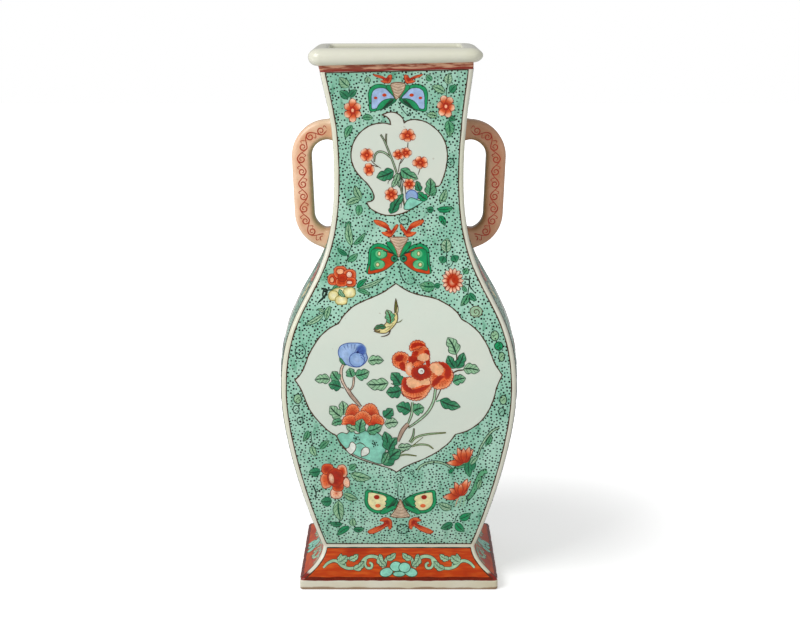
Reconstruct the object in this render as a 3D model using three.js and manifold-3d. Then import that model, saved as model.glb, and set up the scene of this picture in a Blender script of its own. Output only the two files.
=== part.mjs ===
import * as THREE from 'three';
import { mergeVertices } from 'three/addons/utils/BufferGeometryUtils.js';
import Module from 'manifold-3d';

// Rectangular baluster vase with two loop handles, luted together from porcelain slabs.
// Millimetres, +Z up, decorated front towards -Y, origin at the centre of the face it stands on.

// Heights: the foot and belly above the table, the lip and the narrowest place below the rim
const overallHeight = 286;
const plinthHeight = 5.6;
const footHeight = 20;
const bellyHeight = 111;
const neckDrop = 65;
const lipHeight = 8;

// Outside sizes of the body where the foot, belly, neck and lip are
const waistWidth = 82.7;
const waistDepth = 58.3;
const bellyWidth = 122.5;
const bellyDepth = 86.4;
const neckWidth = 67.2;
const neckDepth = 47.4;
const mouthWidth = 78.8;
const mouthDepth = 55.6;

// Slabs and the slip that joins them
const wallThickness = 4.6;
const floorThickness = 5.5;
const luteGap = 0.3;
const outerCornerRadius = 1.5;
const innerCornerRadius = 2;
const sideCrown = 2.7;

// Foot moulding
const footSpread = 12.1;
const footRimWidth = 6;
const footLedge = 2.6;
const footRimHeight = 3;
const rimChamfer = 0.7;

// Lip roll
const lipOverhang = 4.6;
const lipNoseHeight = 3.8;
const lipTopRound = 1.6;

// Handles: their top and bottom are measured from the narrowest place of the neck
const handleSpan = 112.8;
const handleRise = 27;
const handleFall = 41.3;
const handleBand = 10.4;
const handleThickness = 10.6;
const handleEdgeRadius = 2.6;
const handleBend = 14;
const handleLean = 1.1;

// How far each curve of the outline runs straight on from its ends, as shares of its own span
const waistFlare = { size: 0.19, height: 0.1 };
const bellyFullness = { below: 0.34, above: 0.49 };
const neckFullness = { below: 0.59, above: 0.495 };
const mouthFlare = { size: 0.375, height: 0.285 };

// Cavetto of the foot, as shares of its spread and drop: it leaves the waist upright and sweeps out
const cavettoStart = { spread: 0.06, drop: 0.5 };
const cavettoEnd = { spread: 0.45, drop: 0.725 };

// Facets
const cornerSteps = 3;
const crownSteps = 6;
const mouldingSteps = 8;
const rollSteps = 6;
const bendSteps = 9;
const outlineSteps = { waistToBelly: 10, bellyToNeck: 12, neckToMouth: 6 };
const leastStep = 0.01;

const up = new THREE.Vector3(0, 0, 1);
const sideNames = ['front', 'right', 'back', 'left'];
const lipBase = overallHeight - lipHeight;
const neckHeight = overallHeight - neckDrop;
const floorBase = footHeight + luteGap;

const glaze = { color: 0xdfe3d9, roughness: 0.18, metalness: 0 };
const greenEnamel = { color: 0x74bd9e, roughness: 0.25, metalness: 0 };
const redEnamel = { color: 0xcb4d25, roughness: 0.28, metalness: 0 };
const salmonEnamel = { color: 0xe9bd9d, roughness: 0.25, metalness: 0 };

const wasm = await Module();
wasm.setup();

// A closed body through equal rings of points, with an end over the first ring and the last.
// The ends use the triangles of endOutline, which has one flat point for each point of a ring.
function bodyThrough(rings, endOutline) {
  const count = rings[0].length;
  const lastStart = (rings.length - 1) * count;
  const triangles = [];
  for (let ring = 0; ring < rings.length - 1; ring += 1) {
    for (let i = 0; i < count; i += 1) {
      const here = ring * count + i;
      const next = ring * count + ((i + 1) % count);
      triangles.push([here, next, next + count], [here, next + count, here + count]);
    }
  }
  const turn = Math.sign(THREE.ShapeUtils.area(endOutline));
  for (const corners of THREE.ShapeUtils.triangulateShape(endOutline, [])) {
    const sameTurn = THREE.ShapeUtils.area(corners.map((i) => endOutline[i])) * turn > 0;
    const [a, b, c] = sameTurn ? corners : corners.reverse();
    triangles.push([c, b, a], [lastStart + a, lastStart + b, lastStart + c]);
  }
  const points = rings.flat();
  const inward = signedVolume(points, triangles) < 0;
  const geometry = new THREE.BufferGeometry().setFromPoints(points);
  geometry.setIndex(triangles.flatMap(([a, b, c]) => (inward ? [a, c, b] : [a, b, c])));
  return geometry;
}

function signedVolume(points, triangles) {
  const cross = new THREE.Vector3();
  return triangles.reduce(
    (sum, [a, b, c]) => sum + cross.crossVectors(points[b], points[c]).dot(points[a]) / 6,
    0,
  );
}

// A plan is the rounded rectangle that the vase shows at one height.
// One side of it, from the middle of a corner to the middle of the next, less half of gap at each end.
function planSide(plan, side, gap) {
  const isEnd = side % 2 === 1;
  const half = isEnd ? plan.halfDepth : plan.halfWidth;
  const reach = isEnd ? plan.halfWidth : plan.halfDepth;
  const flat = half - plan.radius;
  const turn = Math.PI / 4 - Math.asin(gap / 2 / plan.radius);
  const corner = (sign, angle) => new THREE.Vector3(
    sign * (flat + plan.radius * Math.sin(angle)),
    -(reach - plan.radius + plan.radius * Math.cos(angle)),
    plan.z,
  );
  const points = [];
  for (let i = cornerSteps; i >= 0; i -= 1) points.push(corner(-1, (turn * i) / cornerSteps));
  const bowSteps = isEnd && 'crown' in plan ? crownSteps : 1;
  for (let i = 1; i < bowSteps; i += 1) {
    const along = (2 * i) / bowSteps - 1;
    const bulge = plan.crown * (1 - along * along);
    points.push(new THREE.Vector3(flat * along, -(reach + bulge), plan.z));
  }
  for (let i = 0; i <= cornerSteps; i += 1) points.push(corner(1, (turn * i) / cornerSteps));
  return points.map((p) => p.applyAxisAngle(up, (side * Math.PI) / 2));
}

const planLoop = (plan) => sideNames.flatMap((_, side) => planSide(plan, side, 0).slice(0, -1));

// One side of the vase: a section, given as plans in order round it, run along that side
// and mitred where it meets the next side.
function mitredStrip(side, section) {
  const runs = section.map((plan) => planSide(plan, side, luteGap));
  const rings = runs[0].map((_, column) => runs.map((run) => run[column]));
  return bodyThrough(rings, section.map((plan) => new THREE.Vector2(plan.halfWidth, plan.z)));
}

const distinct = (points) => points.filter((p, i) => i === 0 || p.distanceTo(points[i - 1]) > leastStep);

const station = (width, depth, z) => new THREE.Vector3(width / 2, depth / 2, z);

const towards = (from, to, sizeShare, heightShare) => new THREE.Vector3(
  THREE.MathUtils.lerp(from.x, to.x, sizeShare),
  THREE.MathUtils.lerp(from.y, to.y, sizeShare),
  THREE.MathUtils.lerp(from.z, to.z, heightShare),
);

// Half width, half depth and height of the body's outside, from the foot up to the lip
function bodyOutline() {
  const waist = station(waistWidth, waistDepth, floorBase);
  const belly = station(bellyWidth, bellyDepth, bellyHeight);
  const neck = station(neckWidth, neckDepth, neckHeight);
  const mouth = station(mouthWidth, mouthDepth, lipBase - luteGap);
  const rise = new THREE.CubicBezierCurve3(
    waist,
    towards(waist, belly, waistFlare.size, waistFlare.height),
    towards(waist, belly, 1, 1 - bellyFullness.below),
    belly,
  );
  const shoulder = new THREE.CubicBezierCurve3(
    belly,
    towards(belly, neck, 0, bellyFullness.above),
    towards(belly, neck, 1, 1 - neckFullness.below),
    neck,
  );
  const throat = new THREE.CubicBezierCurve3(
    neck,
    towards(neck, mouth, 0, neckFullness.above),
    towards(neck, mouth, 1 - mouthFlare.size, 1 - mouthFlare.height),
    mouth,
  );
  return [
    ...rise.getPoints(outlineSteps.waistToBelly),
    ...shoulder.getPoints(outlineSteps.bellyToNeck).slice(1),
    ...throat.getPoints(outlineSteps.neckToMouth).slice(1),
  ];
}

const outline = bodyOutline();

// The plan at a place on the outline. The two ends swell outwards with the belly.
function bodyPlan(place, offset, radius) {
  const swell = (2 * place.x - neckWidth) / (bellyWidth - neckWidth);
  return {
    halfWidth: place.x + offset,
    halfDepth: place.y + offset,
    crown: sideCrown * Math.max(swell, 0),
    radius,
    z: place.z,
  };
}

function wall(side) {
  const outside = outline.map((place) => bodyPlan(place, 0, outerCornerRadius));
  const inside = outline.map((place) => bodyPlan(place, -wallThickness, innerCornerRadius));
  return mitredStrip(side, [...outside, ...inside.reverse()]);
}

// Turns a drawn section, whose x is the distance out from a plan's edge and y the height,
// into plans round that edge.
const plansFrom = (section, width, depth, radiusAt) => section.map(({ x, y }) => ({
  halfWidth: width / 2 + x,
  halfDepth: depth / 2 + x,
  radius: radiusAt(x),
  z: y,
}));

// Cavetto skirt over an upright plinth, hollow behind, with a ledge that carries the floor
function footMoulding(side) {
  const ledgeEdge = -wallThickness - footLedge;
  const drop = footHeight - plinthHeight;
  const section = new THREE.Path()
    .moveTo(ledgeEdge, footHeight)
    .lineTo(0, footHeight)
    .bezierCurveTo(
      footSpread * cavettoStart.spread, footHeight - drop * cavettoStart.drop,
      footSpread * cavettoEnd.spread, footHeight - drop * cavettoEnd.drop,
      footSpread, plinthHeight,
    )
    .lineTo(footSpread, rimChamfer)
    .lineTo(footSpread - rimChamfer, 0)
    .lineTo(footSpread - footRimWidth + rimChamfer, 0)
    .lineTo(footSpread - footRimWidth, rimChamfer)
    .lineTo(footSpread - footRimWidth, footRimHeight)
    .lineTo(ledgeEdge, footHeight - floorThickness);
  const points = section.getPoints(mouldingSteps);
  return mitredStrip(side, plansFrom(points, waistWidth, waistDepth, () => outerCornerRadius));
}

// Rounded roll that overhangs the neck
function lipRoll(side) {
  const innerFace = -wallThickness;
  const crest = innerFace / 3;
  const nose = lipBase + lipNoseHeight;
  const section = new THREE.Path()
    .moveTo(0, lipBase)
    .absellipse(0, nose, lipOverhang, lipNoseHeight, -Math.PI / 2, 0, false)
    .absellipse(crest, nose, lipOverhang - crest, lipHeight - lipNoseHeight, 0, Math.PI / 2, false)
    .lineTo(innerFace + lipTopRound, overallHeight)
    .absarc(innerFace + lipTopRound, overallHeight - lipTopRound, lipTopRound, Math.PI / 2, Math.PI, false)
    .lineTo(innerFace, lipBase);
  const points = distinct(section.getPoints(rollSteps));
  const radiusAt = (x) => Math.max(outerCornerRadius + x, innerCornerRadius);
  return mitredStrip(side, plansFrom(points, mouthWidth, mouthDepth, radiusAt));
}

// Slab laid on the ledge of the foot, its edge following the inside of the walls
function floorSlab() {
  const place = (z) => {
    const above = outline.findIndex((p) => p.z > z);
    const [low, high] = [outline[above - 1], outline[above]];
    return low.clone().lerp(high, (z - low.z) / (high.z - low.z));
  };
  const rings = [0, 0.5, 1].map((share) => {
    const z = floorBase + share * floorThickness;
    const plan = bodyPlan(place(z), -wallThickness - luteGap, innerCornerRadius);
    return planLoop({ ...plan, z });
  });
  return bodyThrough(rings, rings[0].map((p) => new THREE.Vector2(p.x, p.y)));
}

function toSolid(geometry) {
  const bare = geometry.toNonIndexed();
  bare.deleteAttribute('normal');
  bare.deleteAttribute('uv');
  const merged = mergeVertices(bare, 1e-4);
  return new wasm.Manifold(new wasm.Mesh({
    numProp: 3,
    vertProperties: new Float32Array(merged.attributes.position.array),
    triVerts: new Uint32Array(merged.index.array),
  }));
}

function toGeometry(solid) {
  const mesh = solid.getMesh();
  const geometry = new THREE.BufferGeometry();
  geometry.setAttribute('position', new THREE.BufferAttribute(new Float32Array(mesh.vertProperties), 3));
  geometry.setIndex(Array.from(mesh.triVerts));
  return geometry;
}

// The whole outside of the body, larger by the slip that a handle is luted on with
function bodyEnvelope() {
  const rings = outline.map((place) => planLoop(bodyPlan(place, luteGap, outerCornerRadius)));
  return bodyThrough(rings, rings[0].map((p) => new THREE.Vector2(p.x, p.y)));
}

// Middle line of the right handle, from inside the neck out, down and back to the shoulder
function handlePath() {
  const root = neckWidth / 2 - wallThickness;
  const upright = handleSpan / 2 - handleBand / 2;
  const upper = neckHeight + handleRise - handleBand / 2;
  const lower = neckHeight - handleFall + handleBand / 2;
  const lowerUpright = upright - handleLean;
  return new THREE.Path()
    .moveTo(root, upper)
    .lineTo(upright - handleBend, upper)
    .absarc(upright - handleBend, upper - handleBend, handleBend, Math.PI / 2, 0, true)
    .lineTo(lowerUpright, lower + handleBend)
    .absarc(lowerUpright - handleBend, lower + handleBend, handleBend, 0, -Math.PI / 2, true)
    .lineTo(root, lower);
}

// Rounded square section of a handle: x across the band, y through its thickness
function handleSection() {
  const [x, y] = [handleBand / 2 - handleEdgeRadius, handleThickness / 2 - handleEdgeRadius];
  const points = [];
  [[x, y], [-x, y], [-x, -y], [x, -y]].forEach(([cx, cy], quarter) => {
    for (let i = 0; i <= cornerSteps; i += 1) {
      const angle = ((quarter + i / cornerSteps) * Math.PI) / 2;
      points.push(new THREE.Vector2(
        cx + handleEdgeRadius * Math.cos(angle),
        cy + handleEdgeRadius * Math.sin(angle),
      ));
    }
  });
  return points;
}

function handle() {
  const line = distinct(handlePath().getPoints(bendSteps));
  const section = handleSection();
  const rings = line.map((place, i) => {
    const along = line[Math.min(i + 1, line.length - 1)].clone().sub(line[Math.max(i - 1, 0)]).normalize();
    return section.map(({ x, y }) => new THREE.Vector3(place.x - along.y * x, y, place.y + along.x * x));
  });
  const swept = toSolid(bodyThrough(rings, section));
  return toGeometry(swept.subtract(toSolid(bodyEnvelope())));
}

function piece(name, geometry, finish) {
  const mesh = new THREE.Mesh(geometry, new THREE.MeshStandardMaterial(finish));
  mesh.name = name;
  return mesh;
}

const vase = new THREE.Group();
vase.name = 'rectangular_vase';

sideNames.forEach((name, side) => {
  vase.add(piece(`foot_${name}`, footMoulding(side), redEnamel));
  vase.add(piece(`wall_${name}`, wall(side), greenEnamel));
  vase.add(piece(`lip_${name}`, lipRoll(side), glaze));
});

vase.add(piece('floor_slab', floorSlab(), glaze));

const handleGeometry = handle();
vase.add(piece('handle_right', handleGeometry, salmonEnamel));

const leftHandle = piece('handle_left', handleGeometry.clone(), salmonEnamel);
leftHandle.rotation.z = Math.PI;
vase.add(leftHandle);

export default vase;
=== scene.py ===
import math

import bpy
import numpy as np
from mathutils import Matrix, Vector
from mathutils.geometry import delaunay_2d_cdt


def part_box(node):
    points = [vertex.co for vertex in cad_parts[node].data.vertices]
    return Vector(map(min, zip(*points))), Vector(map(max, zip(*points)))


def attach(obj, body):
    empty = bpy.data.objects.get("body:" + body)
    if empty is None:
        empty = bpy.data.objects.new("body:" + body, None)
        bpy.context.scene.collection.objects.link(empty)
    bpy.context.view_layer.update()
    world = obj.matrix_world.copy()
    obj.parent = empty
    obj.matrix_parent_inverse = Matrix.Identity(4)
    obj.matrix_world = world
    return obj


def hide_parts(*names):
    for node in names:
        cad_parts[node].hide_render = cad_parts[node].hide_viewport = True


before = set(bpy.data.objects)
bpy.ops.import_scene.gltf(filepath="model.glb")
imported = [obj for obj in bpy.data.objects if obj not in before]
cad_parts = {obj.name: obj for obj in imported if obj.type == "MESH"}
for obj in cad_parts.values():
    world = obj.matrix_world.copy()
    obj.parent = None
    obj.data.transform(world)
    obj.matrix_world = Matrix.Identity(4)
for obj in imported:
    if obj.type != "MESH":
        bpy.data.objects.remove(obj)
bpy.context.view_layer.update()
mm = 0.001
print("stage: frame loaded")

# the photograph's view of the vase; pixels are those of its 800 x 640 frame
view = {
    "position": (0.0006, -0.750, 0.3195),
    "pitch": 13.5,             # degrees below level
    "focalPixels": 1420,
    "frameWidth": 800,
    "frameHeight": 640,
    "sensor": 36.0,
    "pixel": 0.53 * mm,        # about what one pixel covers on the front of the vase
    "middleColumn": 399.0,     # the vase's centre line in the frame
}


def addObject(name, data):
    made = bpy.data.objects.new(name, data)
    bpy.context.scene.collection.objects.link(made)
    return made


def placeCamera():
    data = bpy.data.cameras.new("camera")
    data.sensor_width = view["sensor"]
    data.lens = view["focalPixels"] * view["sensor"] / view["frameWidth"]
    camera = addObject("camera", data)
    camera.location = view["position"]
    camera.rotation_euler = (math.radians(90 - view["pitch"]), 0, 0)
    bpy.context.scene.camera = camera


placeCamera()

# the body's outline, as the slabs have it: width, depth and height at each station
lipBox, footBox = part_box("lip_front"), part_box("foot_front")
form = {
    "waist": (82.7 * mm, 58.3 * mm, footBox[1][2]),
    "belly": (122.5 * mm, 86.4 * mm, 111 * mm),
    "neck": (67.2 * mm, 47.4 * mm, 221 * mm),
    "mouth": (78.8 * mm, 55.6 * mm, lipBox[0][2]),
    "waistFlare": (0.19, 0.1),
    "bellyFullness": (0.34, 0.49),
    "neckFullness": (0.59, 0.495),
    "mouthFlare": (0.375, 0.285),
    "crown": 2.7 * mm,
    "corner": 1.7 * mm,
    "wall": 4.6 * mm,
    "footSpread": 12.1 * mm,
    "plinth": 5.6 * mm,
    "glazeSink": 0.28 * mm,    # the bare glaze lies this far inside the slabs, so that the enamels reach them
    "slant": 0.9 * mm,         # the lip was set on a little low at the left
    "lean": 0.035,             # and the throat leans to the left, by this share of the height above leanFrom
    "leanFrom": 245 * mm,
    "lipShift": -0.35 * mm,    # and the lip sits this far over, from the lower to the upper of these heights
    "shiftFrom": 274 * mm,
    "shiftTo": 279 * mm,
}


def bezier(a, b, c, d, steps):
    t = np.linspace(0, 1, steps)[:, None]
    a, b, c, d = (np.array(p, float) for p in (a, b, c, d))
    return (1 - t) ** 3 * a + 3 * (1 - t) ** 2 * t * b + 3 * (1 - t) * t ** 2 * c + t ** 3 * d


def between(start, end, sizeShare, heightShare):
    a, b = np.array(start), np.array(end)
    return a + (b - a) * np.array([sizeShare, sizeShare, heightShare])


def smoothStep(low, high, value):
    t = np.clip((value - low) / (high - low), 0, 1)
    return t * t * (3 - 2 * t)


# the outline as rows of half width, half depth and height, from the plinth to the foot of the lip
def outlineOfBody():
    stations = (form[name] for name in ("waist", "belly", "neck", "mouth"))
    waist, belly, neck, mouth = (np.array((w / 2, d / 2, z)) for w, d, z in stations)
    low, high = form["bellyFullness"]
    neckLow, neckHigh = form["neckFullness"]
    flare, lift = form["mouthFlare"]
    start = between(waist, belly, *form["waistFlare"])
    rise = bezier(waist, start, between(waist, belly, 1, 1 - low), belly, 60)
    shoulder = bezier(belly, between(belly, neck, 0, high), between(belly, neck, 1, 1 - neckLow), neck, 70)
    bend = between(neck, mouth, 1 - flare, 1 - lift)
    throat = bezier(neck, between(neck, mouth, 0, neckHigh), bend, mouth, 40)
    spread, drop = form["footSpread"], waist[2] - form["plinth"]
    skirt = bezier((spread, form["plinth"]), (0.45 * spread, waist[2] - 0.725 * drop),
                   (0.06 * spread, waist[2] - 0.5 * drop), (0, waist[2]), 30)
    foot = np.array([(waist[0] + e, waist[1] + e, z) for e, z in skirt])
    base = np.array([(foot[0][0], foot[0][1], 0)])
    return np.vstack([base, foot, rise[1:], shoulder[1:], throat[1:]])


outline = outlineOfBody()


def halfSizes(z):
    return np.interp(z, outline[:, 2], outline[:, 0]), np.interp(z, outline[:, 2], outline[:, 1])


def crownAt(z):
    w, _ = halfSizes(z)
    neck, belly = form["neck"][0], form["belly"][0]
    swell = np.clip((2 * w - neck) / (belly - neck), 0, 1)
    return form["crown"] * swell * smoothStep(form["waist"][2], form["waist"][2] + 2 * mm, z)


# how far a point of the true form lies from where the potter's hand left it, across and up
def handSet(x, z):
    base, top = lipBox[0][2], lipBox[1][2]
    share = smoothStep(form["leanFrom"], base, z) * (1 - 0.9 * smoothStep(base, top, z))
    lean = -form["lean"] * np.maximum(z - form["leanFrom"], 0)
    shift = form["lipShift"] * smoothStep(form["shiftFrom"], form["shiftTo"], z)
    return lean + shift, form["slant"] * share * x / (form["mouth"][0] / 2)


def slanted(points):
    out = np.array(points, float)
    across, up = handSet(out[:, 0], out[:, 2])
    return out + np.stack([across, 0 * up, up], 1)


# a turn about the origin
def turned(x, y, angle):
    c, s = math.cos(angle), math.sin(angle)
    return x * c - y * s, x * s + y * c


# the sideways direction, to the left of each heading
def leftOf(heading):
    h = heading / np.maximum(np.linalg.norm(heading, axis=1), 1e-9)[:, None]
    return np.stack([-h[:, 1], h[:, 0]], 1)


def headingRound(loop):
    return np.roll(loop, -1, axis=0) - np.roll(loop, 1, axis=0)


def signedArea(loops):
    ahead = np.roll(loops, -1, axis=-2)
    return 0.5 * (loops[..., 0] * ahead[..., 1] - ahead[..., 0] * loops[..., 1]).sum()


# the same points to the right of an axis, way 1, or mirrored to its other side, way -1
def mirrored(points, axis, way):
    return [(axis + (x - axis) * way, y) for x, y in points]


# a place on one of the four faces: s runs to the right as seen from outside, z is height
def onFace(side, s, z, lift):
    s, z = np.asarray(s, float), np.asarray(z, float)
    isEnd = side % 2
    step = 0.5 * mm
    w, d = halfSizes(z)
    half, reach = (d, w) if isEnd else (w, d)
    slope = (halfSizes(z + step)[1 - isEnd] - halfSizes(z - step)[1 - isEnd]) / (2 * step)
    bow = crownAt(z) * np.clip(1 - (s / half) ** 2, 0, 1) if isEnd else 0 * z
    lean = 2 * crownAt(z) * s / half ** 2 if isEnd else 0 * z
    normal = np.stack([lean, -np.ones_like(z), -slope], 1)
    normal /= np.linalg.norm(normal, axis=1)[:, None]
    points = np.stack([s, -(reach + bow - form["glazeSink"]), z], 1) + normal * np.asarray(lift)[..., None]
    x, y = turned(points[:, 0], points[:, 1], side * math.pi / 2)
    return slanted(np.stack([x, y, points[:, 2]], 1))


# where a pixel of the photograph lies on the front face, from the camera above
def boardTable():
    z = np.linspace(0, lipBox[1][2], 3000)
    _, d = halfSizes(z)
    x0, y0, z0 = view["position"]
    c, s = math.cos(math.radians(view["pitch"])), math.sin(math.radians(view["pitch"]))
    away, rise = -d - y0, z - z0
    forward = away * c - rise * s
    upward = away * s + rise * c
    row = view["frameHeight"] / 2 - view["focalPixels"] * upward / forward
    return row[::-1], z[::-1], forward[::-1]


boardRows, boardHeights, boardDepths = boardTable()


def fromBoard(points):
    p = np.asarray(points, float)
    z = np.interp(p[..., 1], boardRows, boardHeights)
    depth = np.interp(p[..., 1], boardRows, boardDepths)
    s = (p[..., 0] - view["frameWidth"] / 2) * depth / view["focalPixels"] + view["position"][0]
    across, up = handSet(s, z)
    return np.stack([s - across, z - up], -1)


# shader expressions: arithmetic on a Wire adds Math nodes, anything else comes from node()
class Wire:
    def __init__(self, tree, socket=None):
        self.tree, self.socket = tree, socket

    def node(self, kind, settings=None, inputs=None, output=0):
        made = self.tree.nodes.new(kind)
        for name, value in (settings or {}).items():
            if name == "stops":
                for i, (place, colour) in enumerate(value):
                    stop = made.color_ramp.elements[i] if i < 2 else made.color_ramp.elements.new(place)
                    stop.position, stop.color = place, colour
            else:
                setattr(made, name, value)
        for name, value in (inputs or {}).items():
            if isinstance(value, Wire):
                self.tree.links.new(value.socket, made.inputs[name])
            else:
                made.inputs[name].default_value = value
        return Wire(self.tree, made.outputs[output])

    def maths(self, operation, a, b=0.0, c=0.0):
        return self.node("ShaderNodeMath", {"operation": operation}, {0: a, 1: b, 2: c})

    def __add__(self, other):
        return self.maths("ADD", self, other)

    def __radd__(self, other):
        return self.maths("ADD", other, self)

    def __sub__(self, other):
        return self.maths("SUBTRACT", self, other)

    def __rsub__(self, other):
        return self.maths("SUBTRACT", other, self)

    def __mul__(self, other):
        return self.maths("MULTIPLY", self, other)

    def __rmul__(self, other):
        return self.maths("MULTIPLY", other, self)

    def __abs__(self):
        return self.maths("ABSOLUTE", self)

    def ramp(self, low, high, start=0.0, end=1.0):
        settings = {"interpolation_type": "SMOOTHSTEP"}
        inputs = {0: self, 1: low, 2: high, 3: start, 4: end}
        return self.node("ShaderNodeMapRange", settings, inputs)

    def mix(self, factor, a, b, blend="MIX"):
        settings = {"data_type": "RGBA", "blend_type": blend}
        return self.node("ShaderNodeMix", settings, {0: factor, 6: a, 7: b}, 2)

    def noise(self, vector, scale, detail=2.0, roughness=0.5):
        inputs = {"Vector": vector, "Scale": scale, "Detail": detail, "Roughness": roughness}
        return self.node("ShaderNodeTexNoise", {}, inputs)

    def attribute(self, name, output=0):
        return self.node("ShaderNodeAttribute", {"attribute_name": name}, {}, output)


def linear(r, g, b):
    def one(v):
        v /= 255
        return v / 12.92 if v <= 0.04045 else ((v + 0.055) / 1.055) ** 2.4
    return (one(r), one(g), one(b), 1.0)


# enamels and glaze, as sRGB colours
tints = {
    "glaze": (210, 221, 208), "glazeCool": (216, 222, 209), "glazeWarm": (223, 222, 206),
    "glazeOld": (217, 217, 194), "groundPale": (170, 214, 193), "ground": (130, 192, 165),
    "groundDeep": (74, 150, 116), "leaf": (92, 166, 120), "leafPale": (146, 192, 150),
    "leafDark": (46, 132, 90), "green": (24, 150, 92), "red": (196, 62, 20), "redDeep": (168, 34, 8),
    "salmon": (240, 178, 140), "salmonPale": (238, 178, 132), "orange": (234, 140, 88),
    "blush": (243, 206, 180), "cream": (232, 224, 168), "creamPale": (238, 234, 196),
    "blue": (136, 168, 214), "blueDeep": (74, 104, 178), "tan": (204, 158, 124), "bark": (176, 150, 132),
    "olive": (96, 100, 48), "line": (74, 52, 34), "black": (5, 10, 8), "fanPale": (224, 200, 172),
    "fanLine": (122, 76, 50), "rock": (136, 206, 184), "white": (226, 230, 220),
    "leafLight": (96, 190, 132), "leafWan": (158, 196, 160), "leafLine": (20, 84, 56),
    "leafInk": (26, 60, 42), "redWarm": (226, 104, 54), "redLine": (150, 38, 12), "redDark": (112, 28, 8),
    "yellowDeep": (214, 200, 132), "bluePale": (162, 188, 226), "blueWan": (196, 210, 232),
    "yellowLine": (150, 138, 70), "blueLine": (62, 82, 150), "blueInk": (32, 42, 96),
    "blushDull": (216, 190, 170), "twig": (34, 58, 44), "rockDeep": (112, 186, 160),
    "rockPale": (176, 222, 204),
}
colours = {name: linear(*tint) for name, tint in tints.items()}


def newMaterial(name):
    material = bpy.data.materials.new(name)
    material.use_nodes = True
    tree = material.node_tree
    shader = tree.nodes["Principled BSDF"]
    return material, Wire(tree), shader


def feed(wire, shader, name):
    wire.tree.links.new(wire.socket, shader.inputs[name])


# what every finish ends with: its colour, its roughness and a fine relief, depth in metres
def finish(shader, base, roughness, relief=None, depth=0.0, ior=1.5):
    feed(base, shader, "Base Color")
    feed(roughness, shader, "Roughness")
    if relief:
        bump = relief.node("ShaderNodeBump", {}, {"Height": relief, "Distance": depth, "Strength": 1.0})
        feed(bump, shader, "Normal")
    shader.inputs["IOR"].default_value = ior


def objectPlace(w):
    return w.node("ShaderNodeTexCoord", output="Object")


def stretched(w, place, x, y, z):
    return w.node("ShaderNodeMapping", {}, {"Vector": place, "Scale": (x, y, z)})


def part(w, vector, index):
    return w.node("ShaderNodeSeparateXYZ", {}, {0: vector}, index)


# the bare glaze's own marks: heights of the red wash under the lip, of the red line over the plinth,
# of the stain and of the bare clay at the foot, and the sizes of its patches and grains, per metre
glazeLook = {
    "bandLow": 274.8 * mm,
    "bandHigh": 278.2 * mm,
    "plinthLine": (5.1 * mm, 5.3 * mm, 7.5 * mm, 8.5 * mm),
    "stainEnd": (5.2 * mm, 6.8 * mm),
    "bareEnd": (2.1 * mm, 3.0 * mm),
    "patches": 26,
    "grain": 700,
    "pinholes": 420,
    "wobble": 90,
}


# greyish white glaze: pooled tint in broad patches, fine orange peel, bare and stained where it stands.
# Attributes: cool inside the painted faces, outside on the outer skin, and level, the height on the true
# form, which the band under the lip follows
def glazeMaterial():
    material, w, shader = newMaterial("whiteGlaze")
    place, look = objectPlace(w), glazeLook
    height, level = part(w, place, 2), w.attribute("level", 2)
    patch = w.noise(place, look["patches"], 3).ramp(0.35, 0.7)
    fine = w.noise(place, look["grain"], 2)
    wobble = w.noise(place, look["wobble"], 3)
    # warm and cool glaze, pinholes
    warm = w.mix(patch, colours["glazeWarm"], colours["glazeOld"])
    cool = w.mix(patch, colours["glaze"], colours["glazeCool"])
    base = w.mix(w.attribute("cool", 2).ramp(0.3, 0.8), warm, cool)
    base = w.mix(w.noise(place, look["pinholes"], 1).ramp(0.77, 0.8) * 0.35, base, linear(150, 130, 104))
    # the foot: stain, red line over the plinth, bare clay at the rim
    low, high = look["stainEnd"]
    stain = (height + wobble * 0.002).ramp(high, low)
    base = w.mix(stain * (0.2 + patch * 0.35), base, linear(196, 174, 138))
    low, lowEnd, highEnd, high = look["plinthLine"]
    edge = (height + (w.noise(place, 130, 2) - 0.5) * 0.0008).ramp(low, lowEnd) * height.ramp(high, highEnd)
    base = w.mix(edge, base, linear(136, 22, 0))
    low, high = look["bareEnd"]
    bare = (height + wobble * 0.0024).ramp(high, low)
    base = w.mix(bare * 0.85, base, linear(132, 96, 62))
    # the wash under the lip, darker along its lower edge
    low, high = look["bandLow"], look["bandHigh"]
    brush = w.noise(stretched(w, place, 0.3, 0.3, 2.0), 420, 3)
    ragged = level + (wobble - 0.5) * 0.0007
    band = ragged.ramp(low - 0.15 * mm, low + 0.1 * mm) * level.ramp(high + 0.1 * mm, high - 0.1 * mm)
    wash = w.mix(brush.ramp(0.4, 0.62), linear(150, 62, 30), linear(222, 168, 132))
    wash = w.mix(ragged.ramp(low + 1.2 * mm, low + 0.7 * mm), wash, linear(142, 34, 12))
    base = w.mix(band * w.attribute("outside", 2) * brush.ramp(0.9, 0.6, 0.75, 1.0), base, wash)
    finish(shader, base, 0.13 + fine * 0.06 + bare * 0.5, w.noise(place, 150, 2), 0.12 * mm)
    return material


# washes are sized per metre, the outline fades between two distances from a coat's rim, and ribs are
# counted along a leaf and slant by ribSlant
enamelLook = {
    "roughness": 0.16,
    "wash": 330,
    "pool": 1100,
    "outline": (0.52 * mm, 0.30 * mm),
    "waver": 0.18 * mm,
    "midrib": (0.19, 0.10),
    "ribs": 4.5,
    "ribSlant": 1.3,
}


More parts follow.
